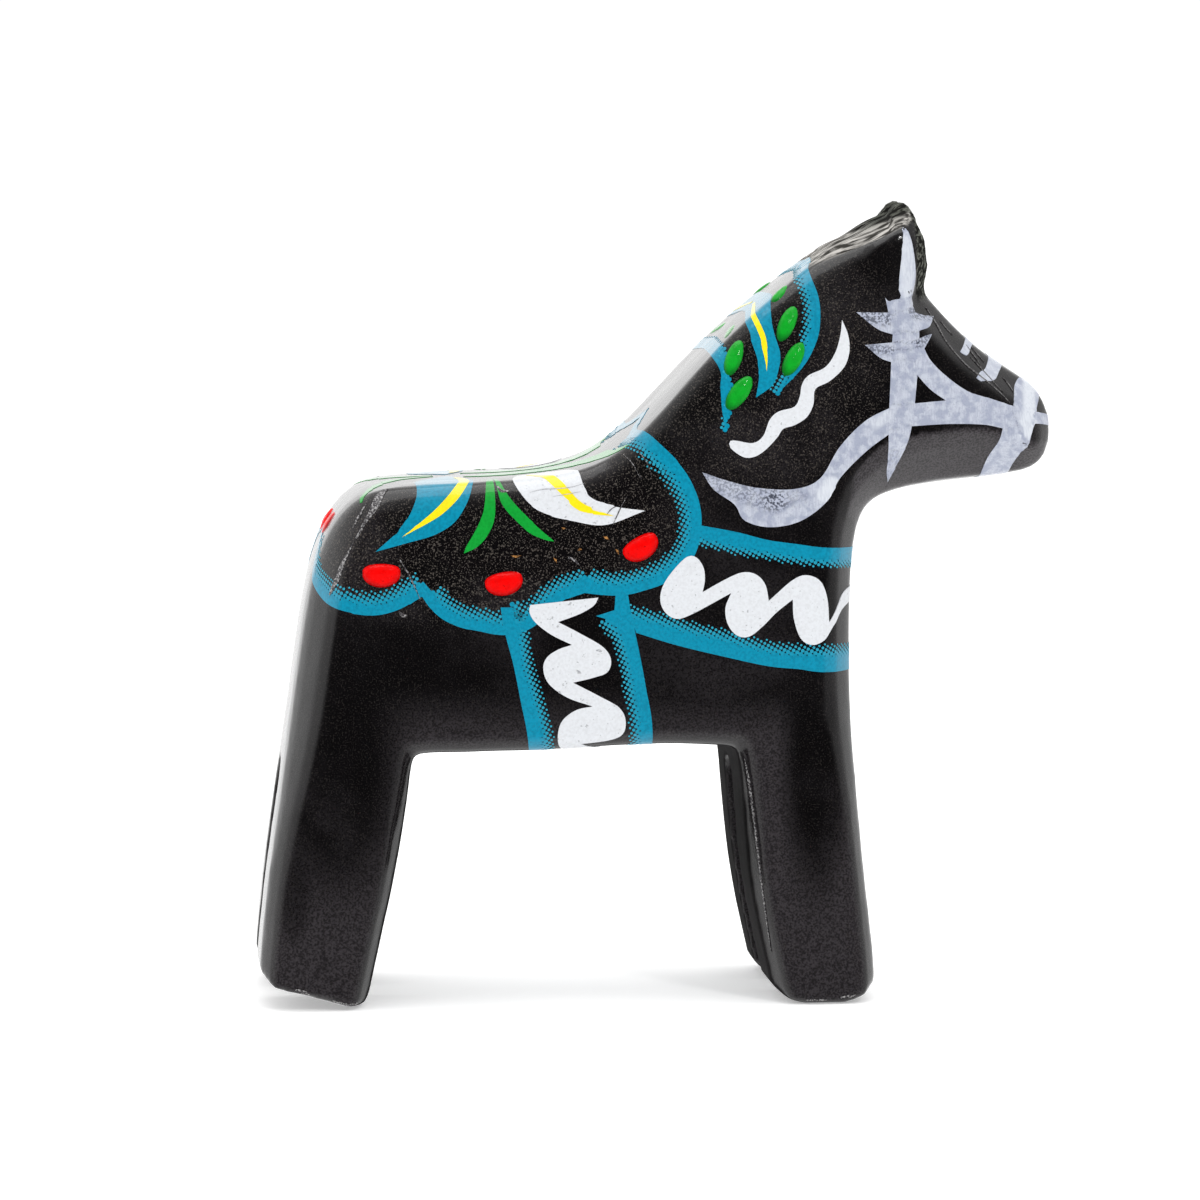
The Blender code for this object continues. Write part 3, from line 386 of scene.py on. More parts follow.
class Skin:
    """Maps plane points to the body's surface: straight across on the flat side, and by length along
    the surface where it rounds the edge. A skin may cover only one stretch of the outline, and a level
    one goes round the front at each point's own height."""

    def __init__(self, tree, line, first=None, last=None, level=False):
        self.tree = tree
        self.level = level
        ahead = np.roll(line, -2, axis=0) - np.roll(line, 2, axis=0)
        ahead /= np.linalg.norm(ahead, axis=1)[:, None]
        outward = np.stack([-ahead[:, 1], ahead[:, 0]], axis=1)
        if first:
            start, stop = (int(np.argmin(np.linalg.norm(line - end, axis=1))) for end in (first, last))
            if start > stop:
                line, outward = np.roll(line, -start, axis=0), np.roll(outward, -start, axis=0)
                start, stop = 0, (stop - start) % len(line)
            line, outward = line[start:stop + 1], outward[start:stop + 1]
        self.line = line
        self.outward = np.tile((1.0, 0.0), (len(line), 1)) if level else outward
        self.rows = [self.section(edge, out) for edge, out in zip(line, self.outward)]

    def section(self, edge, outward):
        """Lengths along the surface from the fold to the middle, with the offset and y at each."""
        pivot = edge - outward * FOLD_DEPTH
        offsets, depths = [], []
        for angle in np.linspace(0.0, math.pi / 2, SKIN_RAYS):
            out = Vector((outward[0] * math.sin(angle), -math.cos(angle), outward[1] * math.sin(angle)))
            hit = self.tree.ray_cast(Vector((pivot[0], 0.0, pivot[1])) + out * FAR, -out)[0]
            if hit is None:
                continue
            offsets.append(float(np.dot([hit.x - pivot[0], hit.z - pivot[1]], outward)))
            depths.append(min(hit.y, 0.0))
        steps = np.hypot(np.diff(offsets), np.diff(depths))
        return np.concatenate([[0.0], np.cumsum(steps)]), np.array(offsets), np.array(depths)

    def depths(self, points):
        """How far plane points lie inside the outline, and the nearest row to each."""
        rows = np.empty(len(points), int)
        for part in batches(points):
            gap = points[part][:, None, :] - self.line[None, :, :]
            away = np.abs(gap[:, :, 1]) if self.level else (gap ** 2).sum(axis=2)
            rows[part] = away.argmin(axis=1)
        inward = self.line[rows] - points
        return (inward * self.outward[rows]).sum(axis=1), rows

    def place(self, points):
        """Surface points, and whether each plane point lies past the middle of the horse."""
        points = np.asarray(points, float).reshape(-1, 2)
        depths, rows = self.depths(points)
        placed = np.zeros((len(points), 3))
        past = np.zeros(len(points), bool)
        for k, (point, depth, row) in enumerate(zip(points, depths, rows)):
            if depth >= FOLD_DEPTH:
                start = Vector((point[0], -FAR, point[1]))
                placed[k] = self.tree.ray_cast(start, Vector((0.0, 1.0, 0.0)))[0]
            else:
                placed[k], past[k] = self.round_the_edge(point, FOLD_DEPTH - depth, row)
        return placed, past

    def round_the_edge(self, point, along, nearest):
        ahead = (nearest + 1) % len(self.line)
        share = self.share(point, nearest, ahead)
        if share < 0.0:
            ahead = nearest - 1
            share = self.share(point, nearest, ahead)
        share = min(max(share, 0.0), 1.0)
        total = np.zeros(3)
        past = True
        for row, weight in ((nearest, 1.0 - share), (ahead, share)):
            lengths, offsets, depths = self.rows[row]
            offset = np.interp(along, lengths, offsets) - FOLD_DEPTH
            plane = self.line[row] + self.outward[row] * offset
            total += weight * np.array([plane[0], np.interp(along, lengths, depths), plane[1]])
            past = past and along >= lengths[-1]
        if past:
            total[1] = 0.0
        return total, past

    def share(self, point, row, other):
        tangent = self.line[other] - self.line[row]
        if self.level:
            tangent = tangent * (0.0, 1.0)
        return float(np.dot(point - self.line[row], tangent) / np.dot(tangent, tangent))

    def snap(self, point):
        """The nearest point of the body's surface and its normal."""
        place, normal, _, _ = self.tree.find_nearest(Vector(point))
        return place, normal


# ---------------------------------------------------------------- plane curves


def curve(points, step=CURVE_STEP):
    """A smooth open curve through the points (Catmull-Rom), with a vertex about every step."""
    knots = [np.array(p, float) for p in points]
    knots = [2 * knots[0] - knots[1]] + knots + [2 * knots[-1] - knots[-2]]
    result = [knots[1]]
    for i in range(1, len(knots) - 2):
        before, start, end, after = knots[i - 1:i + 3]
        pieces = max(1, round(float(np.linalg.norm((end - start)[:2])) / step))
        for piece in range(1, pieces + 1):
            t = piece / pieces
            square = 2 * before - 5 * start + 4 * end - after
            cube = 3 * start - before - 3 * end + after
            result.append(0.5 * (2 * start + (end - before) * t + square * t ** 2 + cube * t ** 3))
    return result


def outline(*runs):
    """A closed shape from smooth runs with sharp corners between them. A straight line joins a run's
    end to the next run's start, and a run may be one corner."""
    shape = []
    for run, following in zip(runs, runs[1:] + runs[:1]):
        if len(run) > 1:
            shape.extend(curve(run)[:-1])
        if run[-1] != following[0]:
            shape.extend(curve([run[-1], following[0]])[:-1])
    return shape


def polygon(*corners):
    return outline(*([corner] for corner in corners))


def directions(points):
    """The unit direction of a polyline at each of its points."""
    ahead = np.gradient(np.asarray(points, float)[:, :2], axis=0)
    return ahead / np.linalg.norm(ahead, axis=1)[:, None]


def left_of(points, distance):
    """A polyline moved to its left hand."""
    ahead = directions(points)
    return np.asarray(points)[:, :2] + np.stack([-ahead[:, 1], ahead[:, 0]], axis=1) * distance


def brush(stroke):
    """A brush stroke from (x, z, width) points. It comes to a point where its width is 0."""
    spine = np.array(curve(stroke))
    half = np.maximum(spine[:, 2], 0.0)[:, None] / 2.0
    left = left_of(spine, 1.0) - spine[:, :2]
    wide = half[:, 0] > 0.005
    return [*(spine[:, :2] - left * half)[wide], *(spine[:, :2] + left * half)[::-1]]


def band(edge, width):
    """A band along the left hand of its edge."""
    points = curve(edge)
    return [*points, *left_of(points, width)[::-1]]


def inside(points, shape):
    """Whether each plane point lies in a polygon, by counting the edges on one side of it."""
    shape = np.asarray(shape)
    start, end = shape, np.roll(shape, -1, axis=0)
    found = np.zeros(len(points), bool)
    for (x0, z0), (x1, z1) in zip(start, end):
        if z0 == z1:
            continue
        level = (z0 > points[:, 1]) != (z1 > points[:, 1])
        found ^= level & (points[:, 0] < x0 + (points[:, 1] - z0) * (x1 - x0) / (z1 - z0))
    return found


def grid_points(shapes, step, stagger):
    edge = np.vstack([np.asarray(shape) for shape in shapes])
    low, high = edge.min(axis=0), edge.max(axis=0)
    columns, rows = (np.arange(low[k] + stagger, high[k], step) for k in (0, 1))
    x, z = np.meshgrid(columns, rows)
    points = np.stack([x.ravel(), z.ravel()], axis=1)
    found = np.zeros(len(points), bool)
    for shape in shapes:
        found |= inside(points, shape)
    points = points[found]
    clear = np.ones(len(points), bool)
    for part in batches(points):
        away = ((points[part][:, None, :] - edge[None, :, :]) ** 2).sum(axis=2).min(axis=1)
        clear[part] = away > (step * 0.5) ** 2
    return points[clear]


# ---------------------------------------------------------------- films, dots and beads


def triangulate(shapes, skin, grid):
    """One triangulation of the union of plane shapes, finer where the surface bends."""
    flat = grid_points(shapes, grid, 0.1)
    flat = flat[skin.depths(flat)[0] >= FOLD_DEPTH + BENT_GRID]
    bent = grid_points(shapes, BENT_GRID, 0.13)
    bent = bent[skin.depths(bent)[0] < FOLD_DEPTH + BENT_GRID]
    points, loops = [], []
    for shape in shapes:
        loops.append(list(range(len(points), len(points) + len(shape))))
        points.extend(Vector(p) for p in shape)
    points.extend(Vector(p) for p in np.vstack([flat, bent]))
    vertices, _, triangles = delaunay_2d_cdt(points, [], loops, 1, 0.0005)[:3]
    corners = np.array([tuple(v) for v in vertices])
    middles = corners[np.array(triangles)].mean(axis=1)
    kept = np.zeros(len(triangles), bool)
    for shape in shapes:
        kept |= inside(middles, shape)
    faces = []
    for (a, b, c), keep in zip(triangles, kept):
        (ux, uz), (vx, vz) = corners[b] - corners[a], corners[c] - corners[a]
        turn = ux * vz - uz * vx
        if keep and abs(turn) > 1e-7:
            faces.append((a, b, c) if turn > 0.0 else (a, c, b))
    return corners, faces


def lay_sheet(placed, past, tones, faces, skin):
    """The faces on both sides of the horse, joined where they meet in the middle."""
    sheet = bmesh.new()
    tone = sheet.verts.layers.float.new("tone")
    faces = [face for face in faces if not all(past[i] for i in face)]
    for side in (1.0, -1.0):
        made = []
        for (x, y, z), value in zip(placed, tones):
            made.append(sheet.verts.new((x, y * side, z)))
            made[-1][tone] = value
        for face in faces:
            sheet.faces.new([made[i] for i in (face if side > 0.0 else face[::-1])])
    bmesh.ops.delete(sheet, geom=[v for v in sheet.verts if not v.link_faces], context="VERTS")
    middle = [v for v in sheet.verts if abs(v.co.y) < MIDDLE_MERGE]
    bmesh.ops.remove_doubles(sheet, verts=middle, dist=MIDDLE_MERGE)
    for vertex in sheet.verts:
        vertex.co = skin.snap(vertex.co)[0]
    sheet.normal_update()
    sheet.verts.index_update()
    return sheet


def film(piece, shapes, skin, lift=PRINT_LIFT, tone=lambda points: np.ones(len(points)), grid=FLAT_GRID):
    """Adds a thin closed film over the union of plane shapes, on both sides of the horse."""
    corners, faces = triangulate(shapes, skin, grid)
    placed, past = skin.place(corners)
    sheet = lay_sheet(placed, past, tone(corners), faces, skin)
    values = sheet.verts.layers.float["tone"]
    count = len(sheet.verts)
    lower = [v.co - v.normal * SUNK for v in sheet.verts]
    upper = [v.co + v.normal * lift for v in sheet.verts]
    tones = [v[values] for v in sheet.verts]
    solid = []
    for face in sheet.faces:
        loop = [v.index for v in face.verts]
        solid.append([i + count for i in loop])
        solid.append(loop[::-1])
    for edge in sheet.edges:
        if edge.is_boundary:
            corner = edge.link_loops[0]
            a, b = corner.vert.index, corner.link_loop_next.vert.index
            solid.append([a, b, b + count, a + count])
    sheet.free()
    piece.add(lower + upper, solid, tones + tones)


def make_film(name, shapes, paint, slot, skin, nodes, *how):
    """A piece that is one film over the union of plane shapes, in place of its CAD nodes."""
    piece = Piece(name)
    film(piece, shapes, skin, *how)
    piece.finish(paint, slot, *nodes)


def screen_points(low, high):
    """The corners of the print screen in a box of the plane."""
    turn = SCREEN_ANGLE
    reach = math.hypot(high[0] - low[0], high[1] - low[1]) / SCREEN_PITCH
    centre = (np.asarray(low) + high) / 2.0
    middle = np.round([(centre[0] * math.cos(turn) + centre[1] * math.sin(turn)) / SCREEN_PITCH,
                       (centre[1] * math.cos(turn) - centre[0] * math.sin(turn)) / SCREEN_PITCH])
    steps = np.arange(-int(reach / 2) - 1, int(reach / 2) + 2)
    i, j = np.meshgrid(steps + middle[0], steps + middle[1])
    x = (i * math.cos(turn) - j * math.sin(turn)) * SCREEN_PITCH
    z = (i * math.sin(turn) + j * math.cos(turn)) * SCREEN_PITCH
    points = np.stack([x.ravel(), z.ravel()], axis=1)
    return points[((points >= low) & (points <= high)).all(axis=1)]


def distance_left(points, edges):
    """The distance of plane points from the nearest of some edges, where they lie on its left hand."""
    best = np.full(len(points), np.inf)
    result = np.full(len(points), -np.inf)
    for edge in edges:
        line = np.array(curve(edge))
        ahead = directions(line)
        for part in batches(points):
            gap = points[part][:, None, :] - line[None, :, :]
            away = (gap ** 2).sum(axis=2)
            row = away.argmin(axis=1)
            near = gap[np.arange(len(row)), row]
            left = ahead[row, 0] * near[:, 1] - ahead[row, 1] * near[:, 0]
            beyond = np.abs((ahead[row] * near).sum(axis=1)) > 2.0 * CURVE_STEP
            left[beyond] = -np.inf
            closer = away[np.arange(len(row)), row] < best[part]
            best[part] = np.where(closer, away[np.arange(len(row)), row], best[part])
            result[part] = np.where(closer, left, result[part])
    return result


def fringe(piece, edges, solid, width, skin, reach=FAR):
    """Printed dots that shrink away from a band's solid part. The edges have the band on their left, and
    the dots end at this reach past the outline."""
    ends = np.vstack([np.asarray(edge, float) for edge in edges])
    points = screen_points(ends.min(axis=0) - solid - width, ends.max(axis=0) + solid + width)
    away = distance_left(points, edges) - solid
    keep = (away > -0.15) & (away < width)
    keep[keep] = skin.depths(points[keep])[0] > -reach
    points, away = points[keep], away[keep]
    tones = np.clip(1.0 - away / width, 0.0, 1.0)
    dots(piece, points, SCREEN_PITCH * (SMALL_DOT + DOT_GROWTH * tones), tones, skin)


def dots(piece, points, radii, tones, skin):
    """Small flat closed discs on both sides of the horse."""
    placed, past = skin.place(points)
    turns = np.linspace(0.0, 2.0 * math.pi, DOT_SIDES, endpoint=False)
    ring = np.stack([np.cos(turns), np.sin(turns)], axis=1)
    top = list(range(DOT_SIDES))
    bottom = list(range(2 * DOT_SIDES - 1, DOT_SIDES - 1, -1))
    rim = [[DOT_SIDES + i, DOT_SIDES + (i + 1) % DOT_SIDES, (i + 1) % DOT_SIDES, i] for i in top]
    for number, (place, radius, tone) in enumerate(zip(placed, radii, tones)):
        if past[number]:
            continue
        lift = PRINT_LIFT - DOT_STEP * (0.5 + number % DOT_LEVELS)
        for side in (1.0, -1.0):
            centre, normal = skin.snap((place[0], place[1] * side, place[2]))
            across = normal.orthogonal().normalized()
            along = normal.cross(across)
            flat = [centre + (across * u + along * v) * radius for u, v in ring]
            vertices = [p + normal * lift for p in flat] + [p - normal * SUNK for p in flat]
            piece.add(vertices, [top, bottom, *rim], [tone] * (2 * DOT_SIDES))


BEAD_RINGS = 10
BEAD_SIDES = 32
# A bead's height falls with its radius to this power, and then takes the other.
BEAD_CROWN = 2.4
BEAD_RIM = 0.6


def bead(piece, x, z, across, height, lean, rise, flat_top, skin):
    """A raised drop of paint: an ellipse whose long axis leans clockwise from vertical, or a bean if
    its top is flattened, domed with a steep rim."""
    lean = math.radians(lean)
    points, heights, tones = [], [], []
    for ring in range(BEAD_RINGS, 0, -1):
        share = ring / BEAD_RINGS
        for side in range(BEAD_SIDES):
            angle = 2.0 * math.pi * side / BEAD_SIDES
            u = across / 2.0 * math.cos(angle) * share
            v = height / 2.0 * math.sin(angle) * share
            if v > 0.0 and flat_top < 1.0:
                v = height / 2.0 * flat_top * math.sin(angle) ** 0.6 * share
            points.append((x + u * math.cos(lean) + v * math.sin(lean),
                           z - u * math.sin(lean) + v * math.cos(lean)))
            heights.append(rise * (1.0 - share ** BEAD_CROWN) ** BEAD_RIM)
            # The tone is painted shade: it darkens the bead's lower rim.
            tones.append(smoothstep(-0.2, 1.0, -math.sin(angle)) * smoothstep(0.55, 1.0, share))
    points.append((x, z))
    heights.append(rise)
    tones.append(0.0)
    placed, _ = skin.place(points)
    last = len(points) - 1
    for side in (1.0, -1.0):
        middle = skin.snap(placed[last] * (1.0, side, 1.0))[1]
        surface = [skin.snap(place * (1.0, side, 1.0))[0] for place in placed]
        vertices = [p + middle * h for p, h in zip(surface, heights)]
        vertices += [p - middle * 2.0 * SUNK for p in surface[:BEAD_SIDES]]
        faces = []
        for i in range(BEAD_SIDES):
            j = (i + 1) % BEAD_SIDES
            for ring in range(BEAD_RINGS - 1):
                inner = (ring + 1) * BEAD_SIDES
                outer = ring * BEAD_SIDES
                faces.append([outer + i, outer + j, inner + j, inner + i])
            ring = (BEAD_RINGS - 1) * BEAD_SIDES
            faces.append([ring + i, ring + j, last])
            faces.append([last + 1 + i, last + 1 + j, j, i])
        faces.append([last + 1 + i for i in range(BEAD_SIDES)][::-1])
        if side < 0.0:
            faces = [face[::-1] for face in faces]
        piece.add(vertices, faces, tones + tones[:BEAD_SIDES])


# ---------------------------------------------------------------- paints


UNDER_COAT_GLOSS = 0.04


class Graph:
    """Shorthand for the nodes of a paint or of the light tent."""

    def __init__(self, owner):
        owner.use_nodes = True
        self.nodes = owner.node_tree.nodes
        self.links = owner.node_tree.links

    def put(self, node, values):
        """Fills the node's numbered sockets from other nodes, numbers or colours."""
        for number, value in values.items():
            socket = node.inputs[number]
            if isinstance(value, bpy.types.NodeSocket):
                self.links.new(value, socket)
            elif isinstance(value, tuple):
                socket.default_value = (*value, 1.0)
            else:
                socket.default_value = value

    def level(self, value, low, high, to_low=0.0, to_high=1.0):
        """Maps low to high onto to_low to to_high, smoothly and within those limits."""
        node = self.nodes.new("ShaderNodeMapRange")
        node.interpolation_type = "SMOOTHSTEP"
        self.put(node, {0: value, 1: low, 2: high, 3: to_low, 4: to_high})
        return node.outputs[0]

    def math(self, operation, a, b):
        node = self.nodes.new("ShaderNodeMath")
        node.operation = operation
        self.put(node, {0: a, 1: b})
        return node.outputs[0]

    def blend(self, share, a, b):
        """A number between a and b."""
        node = self.nodes.new("ShaderNodeMix")
        self.put(node, {0: share, 2: a, 3: b})
        return node.outputs[0]

    def mix(self, share, a, b):
        """A colour between a and b."""
        node = self.nodes.new("ShaderNodeMix")
        node.data_type = "RGBA"
        self.put(node, {0: share, 6: a, 7: b})
        return node.outputs[2]


class Paint(Graph):
    """A glossy procedural paint. Its sizes and depths are in millimetres."""

    def __init__(self, name, roughness, coat_roughness=0.1, coat_ior=1.4):
        self.material = bpy.data.materials.new(name)
        super().__init__(self.material)
        self.shader = self.nodes["Principled BSDF"]
        self.shader.inputs["Roughness"].default_value = roughness
        self.shader.inputs["Specular IOR Level"].default_value = UNDER_COAT_GLOSS
        self.shader.inputs["Coat Weight"].default_value = 1.0
        self.shader.inputs["Coat IOR"].default_value = coat_ior
        self.shader.inputs["Coat Roughness"].default_value = coat_roughness
        self.position = self.nodes.new("ShaderNodeTexCoord").outputs["Object"]

    def noise(self, size, detail=2.0, stretch=(1.0, 1.0, 1.0), turn=0.0):
        """Noise whose features are about this size in millimetres, stretched along an axis."""
        rotation = self.nodes.new("ShaderNodeVectorRotate")
        rotation.rotation_type = "Y_AXIS"
        rotation.inputs["Angle"].default_value = turn
        self.links.new(self.position, rotation.inputs["Vector"])
        scale = self.nodes.new("ShaderNodeVectorMath")
        scale.operation = "MULTIPLY"
        scale.inputs[1].default_value = [1.0 / (MM * size * s) for s in stretch]
        self.links.new(rotation.outputs[0], scale.inputs[0])
        texture = self.nodes.new("ShaderNodeTexNoise")
        texture.inputs["Scale"].default_value = 1.0
        texture.inputs["Detail"].default_value = detail
        self.links.new(scale.outputs[0], texture.inputs["Vector"])
        return texture.outputs[0]

    def value(self, name):
        attribute = self.nodes.new("ShaderNodeAttribute")
        attribute.attribute_name = name
        return attribute.outputs["Fac"]

    def set(self, socket, value):
        self.links.new(value, self.shader.inputs[socket])

    def cloudy(self, size, color, other):
        """A colour that turns into another one in soft clouds."""
        return self.mix(self.level(self.noise(size, 3.0), 0.35, 0.7), color, other)

    def lacquered_bump(self, grain):
        """Faint waves of clear lacquer over fine grain of this depth."""
        self.bump((self.noise(1.6, 2.0), 0.02), (self.noise(0.2, 2.0), grain))

    def bump(self, *layers):
        """Bump from (height, depth in millimetres) layers, for the paint and its clear coat."""
        normal = None
        for height, depth in layers:
            node = self.nodes.new("ShaderNodeBump")
            node.inputs["Distance"].default_value = depth * MM
            self.links.new(height, node.inputs["Height"])
            if normal:
                self.links.new(normal, node.inputs["Normal"])
            normal = node.outputs[0]
        self.set("Normal", normal)
        self.set("Coat Normal", normal)


PRINT_GRAIN = 0.006


def black_lacquer():
    """Black lacquer with haze, painted grey sheen low on the sides and under the jaw, and dust, brown-grey
    where the print's ground shows, with torn wood on the ears and dull faces between the legs."""
    paint = Paint("black_lacquer_wood", 0.4)
    grains = paint.level(paint.noise(0.17, 3.0), 0.38, 0.62, 0.3, 1.0)
    haze = paint.level(paint.noise(9.0, 3.0), 0.40, 0.70, 0.0, 0.25)
    # Random haze clouds and the painted sheen, reflected light painted in, turn the black grey.
    sheen = paint.math("MULTIPLY", paint.math("MAXIMUM", haze, paint.value("sheen")), grains)
    black_with_haze_and_painted_sheen = paint.mix(sheen, (0.0022, 0.0017, 0.0021), (0.062, 0.055, 0.061))
    dust = paint.level(paint.noise(0.14, 3.0), 0.55, 0.64)
    dust = paint.math("MULTIPLY", dust, paint.value("speckle"))
    lacquer = paint.mix(dust, black_with_haze_and_painted_sheen, (0.070, 0.061, 0.053))
    torn = paint.value("torn")
    streaks = paint.noise(0.3, 3.0, (8.0, 1.0, 1.0), TORN_DIRECTION)
    fresh = paint.mix(paint.level(streaks, 0.38, 0.62), (0.04, 0.038, 0.034), (0.52, 0.50, 0.47))
    aged = paint.mix(paint.level(streaks, 0.44, 0.66), (0.010, 0.010, 0.009), (0.13, 0.135, 0.115))
    wood = paint.mix(paint.value("aged"), fresh, aged)
    paint.set("Base Color", paint.mix(torn, lacquer, wood))
    paint.set("Coat Weight", paint.level(paint.value("dull"), 0.0, 0.8, 1.0, 0.0))
    paint.set("Roughness", paint.level(paint.value("dull"), 0.0, 0.8, 0.4, 0.8))
    threads = paint.math("MULTIPLY", streaks, torn)
    paint.bump((paint.noise(1.6, 2.0), 0.02), (paint.noise(0.2, 2.0), 0.008), (threads, 0.12))
    return paint.material


def print_paint(name, color, pale, grain=0.12):
    """Printed film: nearly even colour with fine grain. Its tone at each vertex fades it to pale."""
    paint = Paint(name, 0.4)
    dark = tuple(c * (1.0 - grain * 2.0) for c in color)
    cloudy = paint.cloudy(0.25, color, dark)
    paint.set("Base Color", paint.mix(paint.value("tone"), pale, cloudy))
    paint.lacquered_bump(PRINT_GRAIN)
    return paint.material


def white_print():
    """White paint with a few small grey specks."""
    paint = Paint("white_print_film", 0.4)
    cloudy = paint.cloudy(0.25, (0.69, 0.71, 0.74), (0.63, 0.645, 0.67))
    specks = paint.level(paint.noise(0.3, 2.0), 0.66, 0.72)
    paint.set("Base Color", paint.mix(specks, cloudy, (0.40, 0.41, 0.43)))
    paint.lacquered_bump(PRINT_GRAIN)
    return paint.material


def silver_glaze():
    """Silver-grey brush strokes. The tone at each vertex darkens them where the glaze is thin, and
    makes them paler where it is thick."""
    paint = Paint("silver_glaze_strokes", 0.4)
    blotches = paint.level(paint.noise(0.8, 3.0), 0.42, 0.62)
    cloudy = paint.mix(blotches, (0.50, 0.53, 0.60), (0.34, 0.37, 0.46))
    threads = paint.level(paint.noise(0.14, 2.0, (1.0, 1.0, 7.0)), 0.40, 0.68)
    brushed = paint.mix(paint.math("MULTIPLY", threads, 0.55), cloudy, (0.33, 0.35, 0.45))
    specks = paint.level(paint.noise(0.13, 2.0), 0.52, 0.70)
    brushed = paint.mix(paint.math("MULTIPLY", specks, 0.5), brushed, (0.27, 0.29, 0.38))
    grains = paint.level(paint.noise(0.2, 3.0), 0.42, 0.58)
    thin = paint.mix(grains, (0.035, 0.04, 0.06), (0.42, 0.45, 0.55))
    thick = paint.mix(paint.math("MULTIPLY", threads, 0.4), (0.63, 0.66, 0.71), (0.42, 0.45, 0.53))
    covered = paint.mix(paint.level(paint.value("tone"), 0.0, EVEN_GLAZE), thin, brushed)
    paint.set("Base Color", paint.mix(paint.level(paint.value("tone"), EVEN_GLAZE, 1.0), covered, thick))
    paint.lacquered_bump(PRINT_GRAIN)
    return paint.material


def raised_paint(name, color, dark, coat):
    """A thick glossy drop with painted shade that darkens its lower rim, and faint waves and a few dark
    specks.
    """
    paint = Paint(name, 0.3, 0.04, 1.25)
    paint.shader.inputs["Coat Weight"].default_value = coat
    cloudy = paint.mix(paint.level(paint.noise(0.7, 2.0), 0.35, 0.7), color, tuple(c * 0.85 for c in color))
    specks = paint.level(paint.noise(0.25, 2.0), 0.68, 0.74)
    shaded = paint.mix(paint.value("tone"), cloudy, dark)
    paint.set("Base Color", paint.mix(specks, shaded, dark))
    paint.bump((paint.noise(0.6, 2.0), 0.08), (paint.noise(0.22, 2.0), 0.02))
    return paint.material


def wear_and_highlight_paint(name, worn, kept, cover):
    """A mark broken up by grains of the colour under it. Most marks are wear; some along edges are painted
    highlights.
    """
    paint = Paint(name, 0.6)
    grains = paint.level(paint.noise(0.16, 3.0), cover - 0.1, cover + 0.1)
    paint.set("Base Color", paint.mix(grains, kept, worn))
    paint.bump((paint.noise(0.16, 3.0), 0.02), (paint.noise(0.6, 2.0), 0.02))
    return paint.material


# ---------------------------------------------------------------- printed borders


SADDLE_SOLID = 0.85
SADDLE_FRINGE = 1.3
SADDLE_FRINGE_REACH = 4.5
# How wide the dots run along each other border.
GIRTH_FRINGE = 1.1
UPPER_BREAST_FRINGE = 0.8
LOWER_BREAST_FRINGE = 1.2
FRONT_BLADE_FRINGE = 0.9
REAR_BLADE_FRINGE = 0.5


def border(name, shapes, edges, width, paint, skin, nodes, solid=0.0, reach=FAR):
    """A printed film that ends in a fringe of dots along these edges."""
    piece = Piece(name)
    film(piece, shapes, skin)
    fringe(piece, edges, solid, width, skin, reach)
    piece.finish(paint, "blue_print", *nodes)


SADDLE_FRONT = [(-6.9, 36.5), (-5.1, 36.2), (-3.3, 36.2), (-1.6, 36.6), (-0.1, 37.1), (1.3, 38.0),
                (2.6, 39.4), (3.2, 41.2), (3.3, 43.2), (2.8, 45.2), (1.6, 47.3), (-0.8, 49.8),
                (-5.0, 53.8), (-7.8, 60.0)]
SADDLE_MIDDLE = [(-21.0, 36.2), (-20.3, 35.2), (-19.2, 34.2), (-17.7, 33.5), (-16.3, 33.2),
                 (-13.9, 32.8), (-11.5, 33.4), (-9.0, 35.6), (-6.9, 36.5)]
SADDLE_REAR = [(-38.8, 46.3), (-36.5, 44.5), (-35.2, 42.4), (-34.2, 39.9), (-32.9, 37.9),
               (-31.2, 36.5), (-29.4, 35.5), (-27.2, 34.8), (-25.0, 34.6), (-23.0, 35.1), (-21.0, 36.2)]


def saddle_border(paint, skin):
    lobes = [SADDLE_FRONT, SADDLE_MIDDLE, SADDLE_REAR]
    front_cusp = polygon((-8.4, 35.9), (-6.9, 36.4), (-5.3, 36.2), (-5.6, 37.1), (-6.9, 38.0), (-8.2, 36.9))
    rear_cusp = polygon((-22.1, 35.5), (-21.0, 36.2), (-20.2, 35.2), (-19.7, 36.1), (-20.9, 37.5),
                        (-22.2, 36.5))
    shapes = [band(lobe, SADDLE_SOLID) for lobe in lobes] + [front_cusp, rear_cusp]
    border("saddle_border", shapes, lobes, SADDLE_FRINGE, paint, skin, both("saddle_border"), SADDLE_SOLID,
           SADDLE_FRINGE_REACH)


def girth_rear_band(paint, skin):
    outer = [(-14.2, 35.2), (-13.8, 32.9), (-13.1, 30.2), (-12.5, 27.2), (-11.7, 22.8), (-11.0, 14.0)]
    inner = [(-10.2, 14.0), (-10.5, 22.8), (-11.5, 27.2), (-12.3, 29.9), (-12.7, 32.7), (-13.2, 35.2)]
    border("girth_rear_band", [outline(outer, inner)], [inner[::-1]], GIRTH_FRINGE, paint, skin,
           both("girth_rear_band"))


def girth_front_band(paint, skin):
    outer = [(-3.1, 36.2), (-2.8, 34.4), (-2.1, 31.1), (-1.5, 27.9), (-0.9, 24.0), (-0.6, 14.0)]
    inner = [(-1.6, 14.0), (-1.9, 24.0), (-2.4, 27.5), (-3.1, 31.1), (-3.7, 32.8), (-4.6, 33.9), (-5.9, 34.4)]
    shape = outline(outer, inner, [(-4.3, 34.9)], [(-4.2, 36.2)])
    border("girth_front_band", [shape], [inner[:-1]], GIRTH_FRINGE, paint, skin, both("girth_front_band"))


